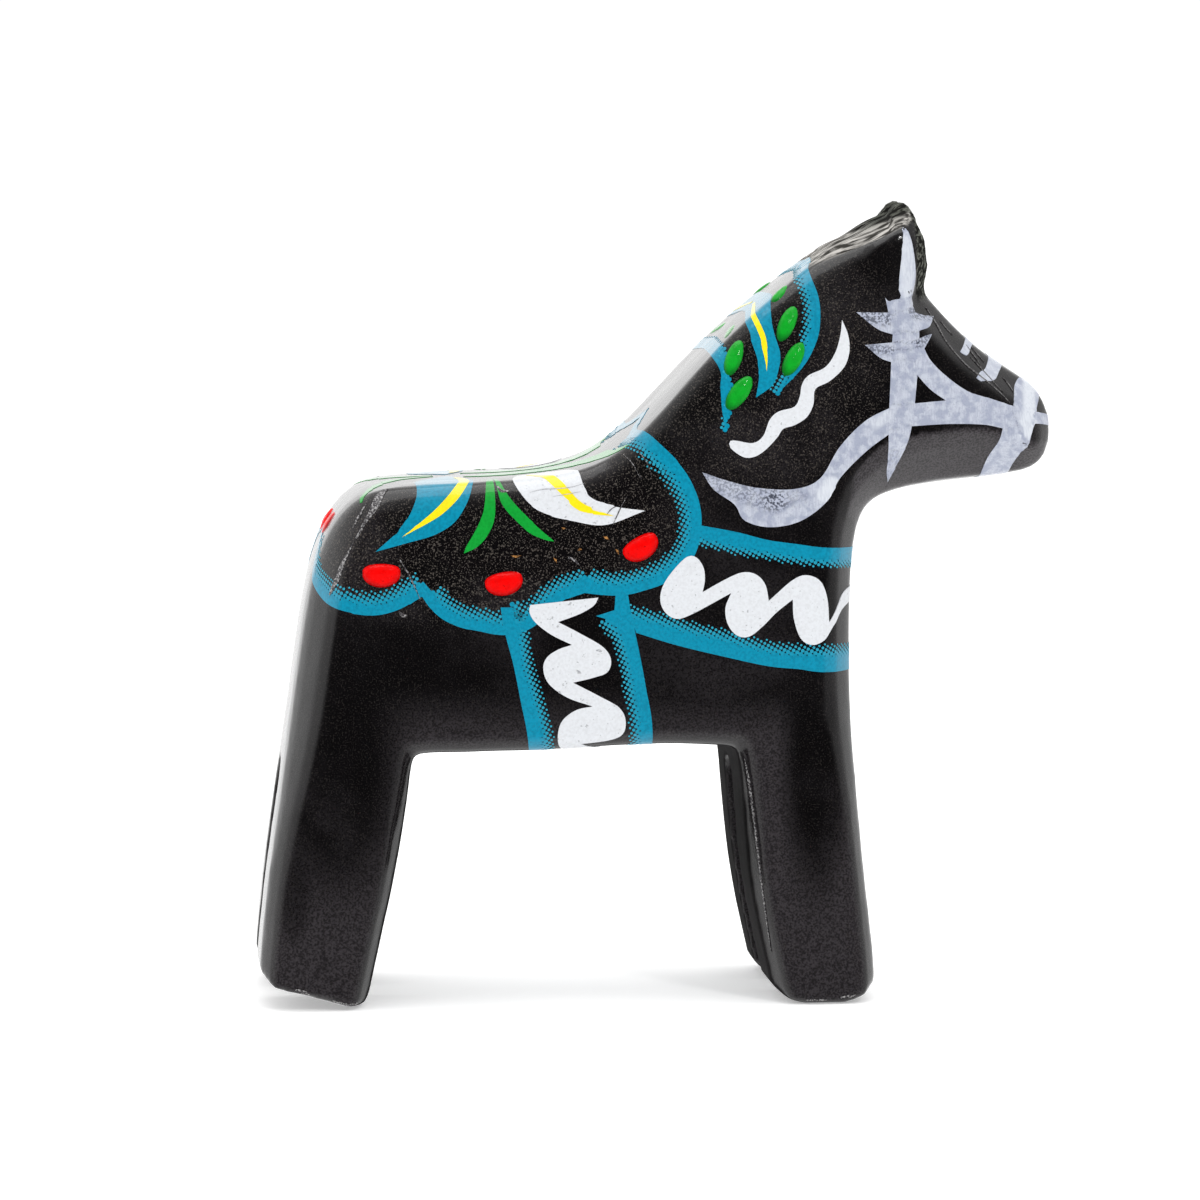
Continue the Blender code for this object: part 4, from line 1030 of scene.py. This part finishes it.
def breast_upper_band(paint, chest):
    top = [(3.3, 42.2), (6.4, 41.6), (9.1, 40.9), (11.8, 40.5), (14.0, 40.2), (18.0, 40.0)]
    bottom = [(18.0, 39.0), (13.8, 39.2), (9.1, 39.9), (6.4, 40.4), (3.1, 41.2)]
    shape = outline(top, [(PAST_CHEST, 40.0)], [(PAST_CHEST, 39.0)], bottom)
    edge = [(PAST_CHEST, 39.0), (22.0, 39.0), *bottom]
    border("breast_upper_band", [shape], [edge], UPPER_BREAST_FRINGE, paint, chest, ["breast_upper_band"])


def breast_lower_band(paint, chest):
    top = [(-2.9, 34.2), (-0.3, 33.5), (2.4, 32.7), (5.1, 32.1), (7.8, 31.3), (10.5, 30.8),
           (13.9, 30.6), (18.0, 30.4)]
    bottom = [(18.0, 29.2), (13.9, 29.3), (11.8, 29.6), (9.1, 29.9), (5.1, 30.8), (1.1, 31.8), (-2.4, 32.9)]
    shape = outline(top, [(PAST_CHEST, 30.4)], [(PAST_CHEST, 29.2)], bottom)
    edge = [*top, (22.0, 30.4), (PAST_CHEST, 30.4)]
    border("breast_lower_band", [shape], [edge], LOWER_BREAST_FRINGE, paint, chest, ["breast_lower_band"])


def mane_front_blade(paint, skin):
    outer = [(9.6, 71.0), (11.3, 68.7), (13.2, 64.0), (14.0, 61.6), (14.0, 59.3), (13.5, 57.6),
             (12.4, 55.8), (10.3, 53.7)]
    inner = [(10.3, 53.7), (11.5, 55.4), (12.4, 56.8), (13.2, 59.0), (13.3, 61.6), (12.2, 64.4),
             (10.5, 67.8), (8.9, 70.2)]
    border("mane_front_blade", [outline(outer, inner)], [inner], FRONT_BLADE_FRINGE, paint, skin,
           both("mane_front_blade"))


def mane_rear_blade(paint, skin):
    outer = [(5.5, 50.8), (5.2, 52.2), (5.1, 54.1), (4.8, 56.2), (1.2, 60.3), (-1.4, 63.0)]
    inner = [(-0.2, 64.0), (2.6, 60.8), (5.2, 57.7), (5.8, 55.6), (6.0, 53.3), (5.5, 50.8)]
    border("mane_rear_blade", [outline(outer, inner)], [inner[::-1]], REAR_BLADE_FRINGE, paint, skin,
           both("mane_rear_blade"))


# ---------------------------------------------------------------- printed leaves and strokes


def mane_stem():
    return [outline(
        [(8.2, 53.2), (8.5, 54.9), (8.4, 56.4), (7.9, 58.1), (7.5, 59.5), (4.6, 64.6), (2.4, 67.2)],
        [(4.4, 69.2), (6.6, 66.6), (9.2, 63.0), (9.8, 59.4), (10.4, 57.1), (10.3, 55.8), (9.7, 54.3),
         (8.2, 53.2)])]


def mane_stem_vein():
    return [brush([(5.0, 66.2, 0.3), (6.4, 63.6, 0.45), (8.6, 59.3, 0.5), (9.1, 57.3, 0.4),
                   (9.2, 55.5, 0.0)])]


def mane_curl():
    return [outline(
        [(6.5, 49.5), (5.9, 49.5), (5.9, 48.9), (7.0, 48.1), (8.0, 48.1), (9.0, 48.7), (10.0, 49.7),
         (10.6, 50.5), (11.6, 50.8), (12.7, 51.5), (13.3, 52.6), (13.5, 53.9), (14.8, 54.6), (16.1, 55.8),
         (16.6, 57.2), (16.5, 58.6), (16.0, 59.9)],
        [(16.0, 59.9), (15.8, 58.5), (15.3, 57.0), (14.4, 55.8), (12.9, 55.1), (12.3, 54.3), (12.1, 53.3),
         (11.6, 52.4), (10.2, 52.0), (9.4, 51.3), (8.8, 49.9), (7.9, 49.3), (6.5, 49.5)])]


def blue_leaf():
    return [outline(
        [(-25.0, 40.1), (-22.4, 40.8), (-19.7, 41.6), (-17.8, 43.0), (-16.6, 45.7), (-16.6, 49.4),
         (-18.6, 54.0)],
        [(-18.6, 54.0), (-21.4, 50.0), (-21.4, 45.0), (-22.8, 42.2), (-25.0, 40.1)])]


def blue_leaf_vein():
    return [brush([(-17.9, 52.0, 0.4), (-17.3, 49.5, 0.85), (-17.4, 46.4, 0.9), (-19.2, 43.8, 0.75),
                   (-22.7, 41.35, 0.0)])]


def green_leaf_rear():
    return [outline(
        [(-17.35, 39.9), (-17.2, 40.4), (-16.5, 41.6), (-15.9, 42.8), (-15.5, 44.3), (-15.2, 48.4)],
        [(-14.8, 48.4), (-14.6, 45.0), (-14.7, 42.8), (-15.4, 41.3), (-16.3, 40.4), (-17.35, 39.9)])]


def green_leaf_front():
    return [outline(
        [(-9.5, 40.9), (-10.2, 41.0), (-11.6, 41.6), (-12.8, 42.7), (-13.8, 43.8), (-14.3, 45.1),
         (-14.7, 48.4)],
        [(-14.4, 48.4), (-14.05, 46.4), (-13.35, 44.8), (-12.1, 43.3), (-10.9, 42.1), (-9.5, 40.9)])]


def white_leaf():
    return [outline(
        [(-1.6, 43.5), (-4.7, 44.0), (-6.7, 45.2), (-7.6, 48.0), (-9.5, 50.4), (-12.3, 50.4), (-13.0, 47.0),
         (-12.0, 44.6), (-10.3, 43.3), (-7.7, 42.6), (-5.0, 42.3), (-1.6, 43.5)])]


def white_leaf_vein():
    return [brush([(-11.8, 50.0, 0.4), (-10.3, 47.6, 0.85), (-8.5, 45.2, 0.8), (-6.9, 43.7, 0.6),
                   (-4.3, 43.05, 0.0)])]


def spine_strokes():
    front = [(-17.2, 53.0, 0.0), (-15.0, 53.4, 1.8), (-11.5, 54.0, 2.4), (-8.5, 53.0, 2.0), (-6.3, 51.0, 1.3),
             (-4.6, 49.9, 0.9), (-3.0, 49.6, 0.0)]
    rear = [(-20.0, 55.0, 0.6), (-23.2, 53.6, 1.3), (-25.3, 51.4, 1.4), (-26.4, 48.4, 1.1),
            (-26.6, 44.9, 0.3)]
    return [brush(front), brush(rear)]


def girth_squiggle():
    return [outline(
        [(-11.6, 35.4), (-5.7, 36.0)],
        [(-5.7, 36.0), (-6.1, 35.3), (-7.3, 34.6), (-9.2, 33.9)],
        [(-9.2, 33.9), (-7.3, 32.9), (-5.3, 31.7), (-4.6, 30.6), (-4.9, 29.5), (-6.2, 29.0), (-7.9, 28.6)],
        [(-7.9, 28.6), (-5.8, 27.5), (-3.9, 26.4), (-3.3, 25.3), (-3.5, 24.0), (-4.7, 23.3), (-7.1, 22.9)],
        [(-7.1, 22.9), (-5.4, 21.6), (-5.2, 20.4), (-6.2, 19.8)],
        [(-6.2, 19.8), (-7.8, 21.2), (-8.9, 22.4), (-9.2, 24.0), (-8.8, 25.3), (-7.6, 26.2), (-6.2, 26.5)],
        [(-6.2, 26.5), (-8.4, 27.3), (-10.0, 28.5), (-10.5, 29.8), (-10.2, 30.8), (-9.2, 31.5),
         (-8.0, 31.9)],
        [(-8.0, 31.9), (-9.8, 32.8), (-11.2, 33.9), (-11.7, 34.8), (-11.6, 35.4)])]


def breast_squiggle():
    """Three loops on each side, and a last one that runs out in a line across the chest."""
    return [outline(
        [(3.4, 36.4), (3.6, 37.4), (3.5, 38.5), (2.9, 39.4), (2.1, 39.5), (1.0, 38.5), (0.0, 37.1),
         (-0.3, 35.8), (0.1, 34.7), (1.1, 34.1), (2.5, 34.5), (5.9, 36.3)],
        [(5.9, 36.3), (5.4, 35.0), (5.6, 33.6), (6.4, 32.6), (7.5, 32.5), (8.7, 33.4), (9.9, 34.6),
         (11.3, 35.7)],
        [(11.3, 35.7), (11.4, 34.0), (12.0, 32.3), (13.0, 31.7), (14.1, 32.1), (15.2, 33.4), (16.6, 34.6),
         (18.8, 35.3)],
        [(PAST_CHEST, 35.3)],
        [(PAST_CHEST, 36.6)],
        [(18.8, 36.6), (16.6, 35.9), (14.6, 33.6)],
        [(14.6, 33.6), (14.4, 35.6), (13.8, 37.2), (12.6, 37.8), (11.3, 37.4), (9.2, 35.6)],
        [(9.2, 35.6), (8.9, 37.0), (8.1, 37.9), (6.9, 38.1), (5.4, 37.5), (3.4, 36.4)])]


# ---------------------------------------------------------------- bridle and rein


def bridle():
    cheek_strap = outline(
        [(21.7, 68.0), (21.3, 64.5), (20.9, 61.5), (20.45, 58.0), (20.2, 54.1), (20.0, 50.0), (20.2, 46.6),
         (20.7, 44.5)],
        [(20.7, 44.5), (21.3, 47.6), (22.1, 50.7), (22.6, 54.5), (22.9, 58.4), (23.0, 61.5), (22.6, 65.6),
         (22.2, 67.6), (21.7, 68.0)])
    spike = polygon((20.15, 60.5), (19.8, 62.3), (20.55, 61.2), (20.95, 61.7), (21.3, 61.3), (21.3, 60.3))
    upper_crescent = outline(
        [(17.3, 60.55), (20.3, 60.5), (23.0, 60.5), (25.4, 60.9)],
        [(25.4, 60.9), (24.2, 59.5), (22.9, 58.9)],
        [(20.5, 58.6), (19.3, 59.0), (18.3, 59.7), (17.3, 60.55)])
    lower_crescent = outline(
        [(18.0, 57.7), (20.4, 57.9)],
        [(22.8, 58.25)],
        [(24.2, 58.7)],
        [(23.3, 57.3), (22.7, 56.0), (20.3, 56.2)],
        [(20.3, 56.2), (19.3, 56.6), (18.0, 57.7)])
    diagonal = outline(
        [(22.0, 56.0), (23.3, 57.4)],
        [(23.3, 57.4), (23.9, 56.3), (25.2, 55.0), (27.2, 53.6), (29.4, 52.9), (31.6, 52.2)],
        [(31.6, 52.2), (32.4, 50.4), (30.4, 50.3)],
        [(30.4, 50.3), (28.6, 50.65), (25.5, 50.75), (22.0, 50.6)],
        [(22.0, 52.55), (23.8, 52.7), (25.2, 52.8)],
        [(25.2, 52.8), (23.8, 53.8), (22.6, 55.1)])
    chin_strap = outline(
        [(30.4, 50.5), (30.2, 49.1), (29.4, 46.5), (29.0, 42.8)],
        [(31.4, 42.2), (31.8, 45.8), (32.7, 48.6)],
        [(32.2, 50.6)])
    muzzle_stroke = outline(
        [(34.5, 56.8), (32.8, 55.4), (31.9, 53.7), (31.5, 51.6), (32.7, 48.5)],
        [(32.7, 48.5), (33.2, 50.2), (34.2, 52.0), (35.7, 54.1)])
    muzzle_dash = polygon((33.2, 51.9), (37.5, 51.5), (37.5, 50.3), (33.0, 50.8))
    return [cheek_strap, spike, upper_crescent, lower_crescent, diagonal, chin_strap, muzzle_stroke,
            muzzle_dash]


def rein_stroke():
    return [outline(
        [(3.4, 46.8), (5.8, 46.0), (8.4, 45.4), (11.6, 45.3), (13.8, 46.2), (15.6, 48.9), (17.9, 51.1),
         (20.3, 52.3)],
        [(20.3, 50.1), (17.9, 48.4), (15.6, 46.2), (14.4, 44.2), (12.0, 42.5), (9.3, 42.0), (7.1, 42.6),
         (6.2, 44.0), (4.4, 45.3), (3.4, 46.8)])]


def nose_dash_upper():
    return [outline(
        [(27.2, 57.5), (27.7, 57.25), (28.2, 57.5), (29.2, 58.8), (31.4, 61.0)],
        [(30.7, 61.8), (29.1, 59.9), (28.0, 58.4), (27.2, 57.5)])]


def nose_dash_lower():
    return [outline(
        [(28.1, 54.8), (28.5, 54.5), (29.0, 54.6), (30.2, 55.0), (31.2, 56.3), (32.2, 57.7)],
        [(31.2, 59.0), (30.6, 57.7), (29.6, 56.2), (28.8, 55.6), (28.1, 54.8)])]


# The thickness of even glaze, and the fineness of the films that carry it.
EVEN_GLAZE = 0.7
GLAZE_GRID = 0.3

# Where the silver glaze is thinner or thicker than elsewhere: ends of a stretch, its radius, and the change.
GLAZE_CHANGES = [
    ((17.8, 60.3), (20.0, 59.9), 0.7, -0.5), ((22.6, 60.2), (24.8, 60.7), 0.5, -0.4),
    ((18.3, 57.4), (20.2, 57.2), 0.5, -0.45), ((22.9, 57.8), (23.8, 58.3), 0.5, -0.45),
    ((20.6, 57.9), (22.8, 57.9), 0.16, -0.4), ((20.6, 57.3), (22.7, 57.3), 0.14, -0.3),
    ((20.4, 56.3), (22.6, 56.3), 0.14, -0.25), ((20.8, 60.6), (22.9, 60.6), 0.14, -0.3),
    ((20.6, 58.7), (22.9, 58.8), 0.14, -0.25), ((4.0, 46.3), (9.6, 44.3), 1.3, -0.35),
    ((9.6, 44.3), (12.0, 44.6), 0.9, -0.25), ((20.6, 48.2), (20.8, 45.0), 0.7, -0.25),
    ((20.3, 50.4), (22.0, 50.7), 0.14, -0.25), ((20.3, 52.4), (22.2, 52.5), 0.14, -0.25),
    ((31.3, 51.8), (32.6, 48.8), 0.16, -0.35), ((31.5, 52.2), (31.9, 53.8), 0.14, -0.3),
    ((33.2, 50.7), (34.0, 52.0), 0.14, -0.3), ((30.3, 50.0), (32.0, 50.2), 0.5, -0.15),
    ((21.9, 66.6), (21.9, 63.0), 0.8, 0.2), ((32.4, 50.0), (34.6, 55.6), 0.9, 0.28),
    ((14.2, 44.8), (14.9, 45.6), 0.8, 0.3), ((28.6, 57.9), (29.6, 59.3), 1.2, 0.12),
    ((29.5, 55.2), (31.0, 57.0), 1.2, 0.12), ((18.8, 50.8), (19.9, 51.6), 0.6, 0.15),
]


def glaze(points):
    """How thick the silver glaze lies at plane points."""
    result = np.full(len(points), EVEN_GLAZE)
    for start, end, radius, change in GLAZE_CHANGES:
        along = np.subtract(end, start)
        share = np.clip(((points - start) @ along) / (along @ along), 0.0, 1.0)
        away = np.linalg.norm(points - start - share[:, None] * along, axis=1)
        result += change * smoothstep(radius * 1.3, radius * 0.5, away)
    return np.clip(result, 0.0, 1.0)


# ---------------------------------------------------------------- wear and painted highlights

# Marks as (x, z, width) strokes: a painted highlight along the ridge and the scratches on the head, and the
# pale scuffs and scratches round the saddle, with painted highlights along the rump's bevel and the fore
# leg's rear edge.
HEAD_HIGHLIGHT_AND_SCRATCHES = [
    # The first stroke is a painted highlight along the ridge down the face; the others are scratches.
    [(24.7, 61.6, 0.05), (25.4, 60.0, 0.16), (25.9, 58.2, 0.1), (27.2, 56.2, 0.14), (28.4, 55.2, 0.16),
     (29.6, 54.2, 0.1), (31.1, 52.6, 0.05)],
    [(26.1, 60.6, 0.0), (26.6, 59.9, 0.1), (27.1, 59.3, 0.0)],
    [(28.4, 58.6, 0.0), (28.8, 57.6, 0.12), (29.2, 56.5, 0.0)],
    [(29.0, 58.6, 0.0), (29.5, 57.6, 0.08), (29.8, 57.0, 0.0)],
    [(31.3, 55.6, 0.0), (31.7, 54.7, 0.12), (31.9, 53.8, 0.0)],
    [(28.3, 57.2, 0.0), (29.2, 55.9, 0.1), (30.6, 53.6, 0.0)],
]
PALE_WEAR_AND_HIGHLIGHTS = [
    # The first three strokes are a painted highlight: the gloss streak along the rump's bevel.
    [(-23.9, 46.2, 0.1), (-24.6, 45.4, 0.7), (-25.1, 44.1, 0.7), (-25.8, 42.9, 0.35), (-26.7, 41.3, 0.15)],
    [(-25.9, 44.6, 0.0), (-26.6, 43.3, 0.25), (-27.2, 42.2, 0.0)],
    [(-26.9, 41.0, 0.0), (-27.8, 39.4, 0.3), (-28.6, 37.6, 0.6), (-29.4, 36.4, 0.2)],
    [(-22.9, 39.4, 0.08), (-22.3, 38.4, 0.14), (-21.7, 37.2, 0.1), (-21.0, 35.6, 0.0)],
    [(-23.0, 34.9, 0.1), (-22.7, 34.6, 0.35), (-22.3, 34.5, 0.15)],
    [(-8.3, 39.5, 0.1), (-7.8, 39.3, 0.25), (-7.4, 38.9, 0.1)],
    [(-14.4, 46.0, 0.1), (-14.0, 45.4, 0.3), (-13.4, 45.4, 0.1)],
    [(-5.0, 43.1, 0.0), (-4.5, 43.7, 0.1), (-4.0, 43.9, 0.0)],
    [(-4.6, 41.9, 0.0), (-3.9, 43.4, 0.1), (-3.2, 44.8, 0.0)],
    [(-1.9, 46.2, 0.0), (-2.6, 47.6, 0.08), (-3.8, 48.8, 0.0)],
    [(-0.9, 46.4, 0.0), (-1.5, 47.8, 0.08), (-2.6, 49.2, 0.0)],
    # A painted highlight along the fore leg's rear edge, by the slot.
    [(6.9, 21.6, 0.05), (7.3, 19.4, 0.25), (8.0, 14.3, 0.2), (8.6, 9.2, 0.16), (9.1, 4.4, 0.05)],
    [(-32.1, 2.0, 0.1), (-31.5, 1.8, 0.3), (-30.9, 1.6, 0.1)],
    [(-28.9, 0.9, 0.1), (-28.2, 0.7, 0.25), (-27.2, 0.5, 0.25), (-26.6, 0.6, 0.1)],
    [(15.7, 0.6, 0.1), (16.4, 0.7, 0.25), (17.0, 0.8, 0.1)],
    [(12.6, 0.4, 0.05), (13.6, 0.4, 0.15), (14.4, 0.4, 0.05)],
]
GREY_WEAR = [
    [(-11.6, 45.2, 0.0), (-10.4, 45.5, 0.07), (-8.2, 45.6, 0.08), (-6.8, 46.0, 0.0)],
    [(-9.6, 44.8, 0.0), (-8.3, 45.0, 0.06), (-7.2, 45.2, 0.0)],
    [(-7.6, 29.7, 0.1), (-7.4, 29.5, 0.3), (-7.2, 29.4, 0.1)],
    [(-5.9, 31.4, 0.1), (-5.6, 31.4, 0.25), (-5.4, 31.3, 0.1)],
    [(-9.3, 27.9, 0.0), (-9.1, 27.8, 0.2), (-8.9, 27.6, 0.0)],
]
WOOD_WEAR = [
    [(-7.5, 40.1, 0.0), (-7.3, 40.2, 0.2), (-7.1, 40.2, 0.0)],
    [(-5.3, 41.3, 0.0), (-5.0, 41.2, 0.25), (-4.7, 41.0, 0.0)],
    [(-4.2, 40.2, 0.0), (-4.0, 40.0, 0.25), (-3.9, 39.7, 0.0)],
    [(-8.9, 42.1, 0.0), (-8.7, 42.0, 0.2), (-8.5, 42.0, 0.0)],
    [(-13.3, 39.7, 0.0), (-12.9, 39.6, 0.2), (-12.4, 39.7, 0.0)],
    [(-9.6, 39.5, 0.0), (-9.4, 39.3, 0.2), (-9.3, 39.0, 0.0)],
]


def make_wear_and_highlights(skin):
    head = wear_and_highlight_paint("ridge_highlight_and_scratches", (0.17, 0.165, 0.165), (0.03, 0.028, 0.03), 0.48)
    pale = wear_and_highlight_paint("worn_to_ground_and_highlights", (0.36, 0.35, 0.35), (0.03, 0.027, 0.03), 0.55)
    grey = wear_and_highlight_paint("grey_marks", (0.32, 0.33, 0.35), (0.50, 0.51, 0.53), 0.5)
    wood = wear_and_highlight_paint("worn_to_wood", (0.42, 0.20, 0.06), (0.10, 0.045, 0.015), 0.5)
    marks = [
        ("head_highlight_and_scratches", HEAD_HIGHLIGHT_AND_SCRATCHES, head, "black_lacquer"),
        ("pale_scuffs_and_highlights", PALE_WEAR_AND_HIGHLIGHTS, pale, "black_lacquer"),
        ("grey_scuffs", GREY_WEAR, grey, "white_paint"),
        ("wood_scuffs", WOOD_WEAR, wood, "black_lacquer"),
    ]
    for name, strokes, paint, slot in marks:
        piece = Piece(name)
        for stroke in strokes:
            film(piece, [brush(stroke)], skin, WEAR_AND_HIGHLIGHT_LIFT)
        piece.finish(paint, slot)


# ---------------------------------------------------------------- beads


# Raised red berries: x, z, size across, height, lean and rise.
BERRIES = {
    "berry_rump": (-34.8, 45.4, 3.3, 2.4, -53.0, 0.22),
    "berry_rear": (-24.5, 38.2, 3.3, 2.4, 0.0, 0.55),
    "berry_middle": (-13.9, 37.4, 3.3, 2.4, -10.0, 0.55),
    "berry_front": (-2.0, 40.4, 3.3, 2.4, -30.0, 0.55),
}
BERRY_FLAT_TOP = 0.72

# Raised green drops on the mane: x, z, width, length, lean and rise.
DROPS = {
    "mane_drop_top": (10.2, 62.7, 1.35, 2.2, 25.0, 0.18),
    "mane_drop_front": (11.1, 59.6, 1.45, 3.3, 25.0, 0.35),
    "mane_drop_low": (11.6, 56.5, 1.5, 3.3, 30.0, 0.35),
    "mane_drop_rear": (6.3, 56.7, 1.5, 3.3, 20.0, 0.35),
    "mane_drop_tail": (6.7, 53.6, 1.6, 3.5, 38.0, 0.35),
    "mane_drop_crest": (4.2, 61.2, 1.2, 3.4, -20.0, 0.1),
}
# A drop that is almost worn off, and has no CAD node.
WORN_DROP = "mane_drop_crest"


def make_beads(red, green, skin):
    for name, sizes in BERRIES.items():
        piece = Piece(name)
        bead(piece, *sizes, BERRY_FLAT_TOP, skin)
        piece.finish(red, "berry_red", *both(name))
    for name, sizes in DROPS.items():
        piece = Piece(name)
        bead(piece, *sizes, 1.0, skin)
        nodes = () if name == WORN_DROP else both(name)
        piece.finish(green, "drop_green", *nodes)


# ---------------------------------------------------------------- stage


FLOOR_REACH = 6.0
FLOOR_GLOW = 0.35


def make_floor():
    mesh = bpy.data.meshes.new("floor")
    shape = bmesh.new()
    bmesh.ops.create_grid(shape, x_segments=8, y_segments=8, size=FLOOR_REACH)
    shape.to_mesh(mesh)
    shape.free()
    paint = Paint("floor_paper", 0.9)
    paint.shader.inputs["Coat Weight"].default_value = 0.0
    grain = paint.level(paint.noise(3.0, 3.0), 0.3, 0.7)
    paint.set("Base Color", paint.mix(grain, (0.93, 0.93, 0.93), (0.95, 0.95, 0.95)))
    paint.shader.inputs["Emission Color"].default_value = (1.0, 1.0, 1.0, 1.0)
    paint.shader.inputs["Emission Strength"].default_value = FLOOR_GLOW
    mesh.materials.append(paint.material)
    floor = bpy.data.objects.new("floor", mesh)
    bpy.context.scene.collection.objects.link(floor)
    floor.visible_glossy = False


# The tent's light, and what is left of it towards the viewer, behind the horse and past the head.
TENT_LIGHT = 1.05
FRONT_DARK = 0.04
BACK_LIGHT = 0.1
HEAD_SIDE_LIGHT = 0.6
# Where the light grows behind the horse, and where it weakens past the head: shares of a direction.
BACK_RANGE = (-0.3, -1.0)
HEAD_SIDE_RANGE = (0.3, 0.9)
# The dark opening's inner and outer angles, as light falls on the horse and as the lacquer reflects it.
OPENING = (16.0, 38.0)
REFLECTED_OPENING = (30.0, 84.0)


def make_tent():
    """A white light tent that is open, and so dark, towards the viewer, and weaker past the head."""
    world = bpy.data.worlds.new("light_tent")
    tent = Graph(world)
    direction = tent.nodes.new("ShaderNodeTexCoord").outputs["Generated"]
    facing = tent.nodes.new("ShaderNodeVectorMath")
    facing.operation = "DOT_PRODUCT"
    facing.inputs[1].default_value = (0.0, -1.0, 0.0)
    tent.links.new(direction, facing.inputs[0])
    towards = facing.outputs["Value"]
    rays = tent.nodes.new("ShaderNodeLightPath").outputs
    inner, outer = (tent.blend(rays["Is Glossy Ray"], math.cos(math.radians(plain)),
                               math.cos(math.radians(reflected)))
                    for plain, reflected in zip(OPENING, REFLECTED_OPENING))
    front = tent.level(towards, outer, inner, TENT_LIGHT, FRONT_DARK)
    back = tent.level(towards, *BACK_RANGE, 0.0, BACK_LIGHT)
    sideways = tent.nodes.new("ShaderNodeSeparateXYZ")
    tent.links.new(direction, sideways.inputs[0])
    weaker = tent.level(sideways.outputs["X"], *HEAD_SIDE_RANGE, 1.0, HEAD_SIDE_LIGHT)
    around = tent.math("MULTIPLY", tent.math("ADD", front, back), weaker)
    background = tent.nodes["Background"]
    strength = tent.blend(rays["Is Camera Ray"], around, TENT_LIGHT)
    tent.links.new(strength, background.inputs["Strength"])
    background.inputs["Color"].default_value = (1.0, 1.0, 1.0, 1.0)
    bpy.context.scene.world = world


def make_light(name, place, aim, size, power):
    data = bpy.data.lights.new(name, "AREA")
    data.size = size
    data.energy = power
    light = bpy.data.objects.new(name, data)
    light.location = place
    light.rotation_euler = (Vector(aim) - Vector(place)).to_track_quat("-Z", "Y").to_euler()
    bpy.context.scene.collection.objects.link(light)


CAMERA_AZIMUTH = math.radians(-5.0)
CAMERA_ELEVATION = math.radians(5.0)
CAMERA_DISTANCE = 0.45
CAMERA_LENS = 151.6
CAMERA_SENSOR = 36.0
AIM_OFFSET = (-0.0045, 0.0, -0.0003)


def make_camera():
    data = bpy.data.cameras.new("camera")
    data.sensor_width = CAMERA_SENSOR
    data.lens = CAMERA_LENS
    aim = (CAD_LOW + CAD_HIGH) / 2.0 + Vector(AIM_OFFSET)
    view = Vector((-math.sin(CAMERA_AZIMUTH) * math.cos(CAMERA_ELEVATION),
                   math.cos(CAMERA_AZIMUTH) * math.cos(CAMERA_ELEVATION),
                   -math.sin(CAMERA_ELEVATION)))
    camera = bpy.data.objects.new("camera", data)
    camera.location = aim - view * CAMERA_DISTANCE
    camera.rotation_euler = view.to_track_quat("-Z", "Y").to_euler()
    bpy.context.scene.collection.objects.link(camera)
    bpy.context.scene.camera = camera


def main():
    make_camera()
    make_floor()
    make_tent()
    make_light("overhead", place=(0.0, 0.05, 0.75), aim=(0.0, 0.0, 0.03), size=0.6, power=2.0)
    make_light("sparkle", place=(0.22, -0.42, 0.42), aim=(0.0, 0.0, 0.04), size=0.06, power=0.6)
    bpy.context.scene.view_settings.view_transform = "Standard"

    tree = make_body(black_lacquer())
    line = body_outline()
    skin = Skin(tree, line)
    chest = Skin(tree, line, THROAT, KNEE, level=True)
    belly = Skin(tree, line, ELBOW, STIFLE)

    blue = print_paint("blue_print_film", (0.002, 0.255, 0.40), (0.03, 0.34, 0.46))
    white = white_print()
    yellow = print_paint("yellow_print_film", (0.93, 0.74, 0.01), (0.93, 0.74, 0.01), 0.05)
    green = print_paint("green_print_film", (0.005, 0.33, 0.035), (0.005, 0.33, 0.035), 0.08)
    silver = silver_glaze()

    for border in (saddle_border, mane_front_blade, mane_rear_blade):
        border(blue, skin)
    for border in (girth_rear_band, girth_front_band):
        border(blue, belly)
    for border in (breast_upper_band, breast_lower_band):
        border(blue, chest)
    films = [
        ("mane_stem", mane_stem, blue, "blue_print", PRINT_LIFT),
        ("mane_stem_vein", mane_stem_vein, yellow, "yellow_paint", PAINT_LIFT),
        ("mane_curl", mane_curl, white, "white_paint", PRINT_LIFT),
        ("blue_leaf", blue_leaf, blue, "blue_print", PRINT_LIFT),
        ("blue_leaf_vein", blue_leaf_vein, yellow, "yellow_paint", PAINT_LIFT),
        ("green_leaf_rear", green_leaf_rear, green, "leaf_green", PRINT_LIFT),
        ("green_leaf_front", green_leaf_front, green, "leaf_green", PRINT_LIFT),
        ("white_leaf", white_leaf, white, "white_paint", PRINT_LIFT),
        ("white_leaf_vein", white_leaf_vein, yellow, "yellow_paint", PAINT_LIFT),
        ("spine_stroke", spine_strokes, green, "leaf_green", PRINT_LIFT),
    ]
    for name, shape, paint, slot, lift in films:
        make_film(name, shape(), paint, slot, skin, both(name), lift)
    make_film("girth_squiggle", girth_squiggle(), white, "white_paint", belly, both("girth_squiggle"),
              PAINT_LIFT)
    make_film("breast_squiggle", breast_squiggle(), white, "white_paint", chest, ["breast_squiggle"],
              PAINT_LIFT)

    strokes = [
        ("bridle", bridle, both("bridle")),
        ("rein_stroke", rein_stroke, both("rein_stroke")),
        ("nose_dash_upper", nose_dash_upper, ["nose_dash_upper"]),
        ("nose_dash_lower", nose_dash_lower, ["nose_dash_lower"]),
    ]
    for name, shape, nodes in strokes:
        make_film(name, shape(), silver, "silver_glaze", skin, nodes, PRINT_LIFT, glaze, GLAZE_GRID)

    # Each drop paint's second colour is the painted shade on its lower rim.
    make_beads(raised_paint("red_berry_paint", (0.84, 0.001, 0.001), (0.38, 0.0, 0.0), 0.5),
               raised_paint("green_drop_paint", (0.005, 0.34, 0.02), (0.0, 0.12, 0.01), 1.0), skin)
    make_wear_and_highlights(skin)


main()
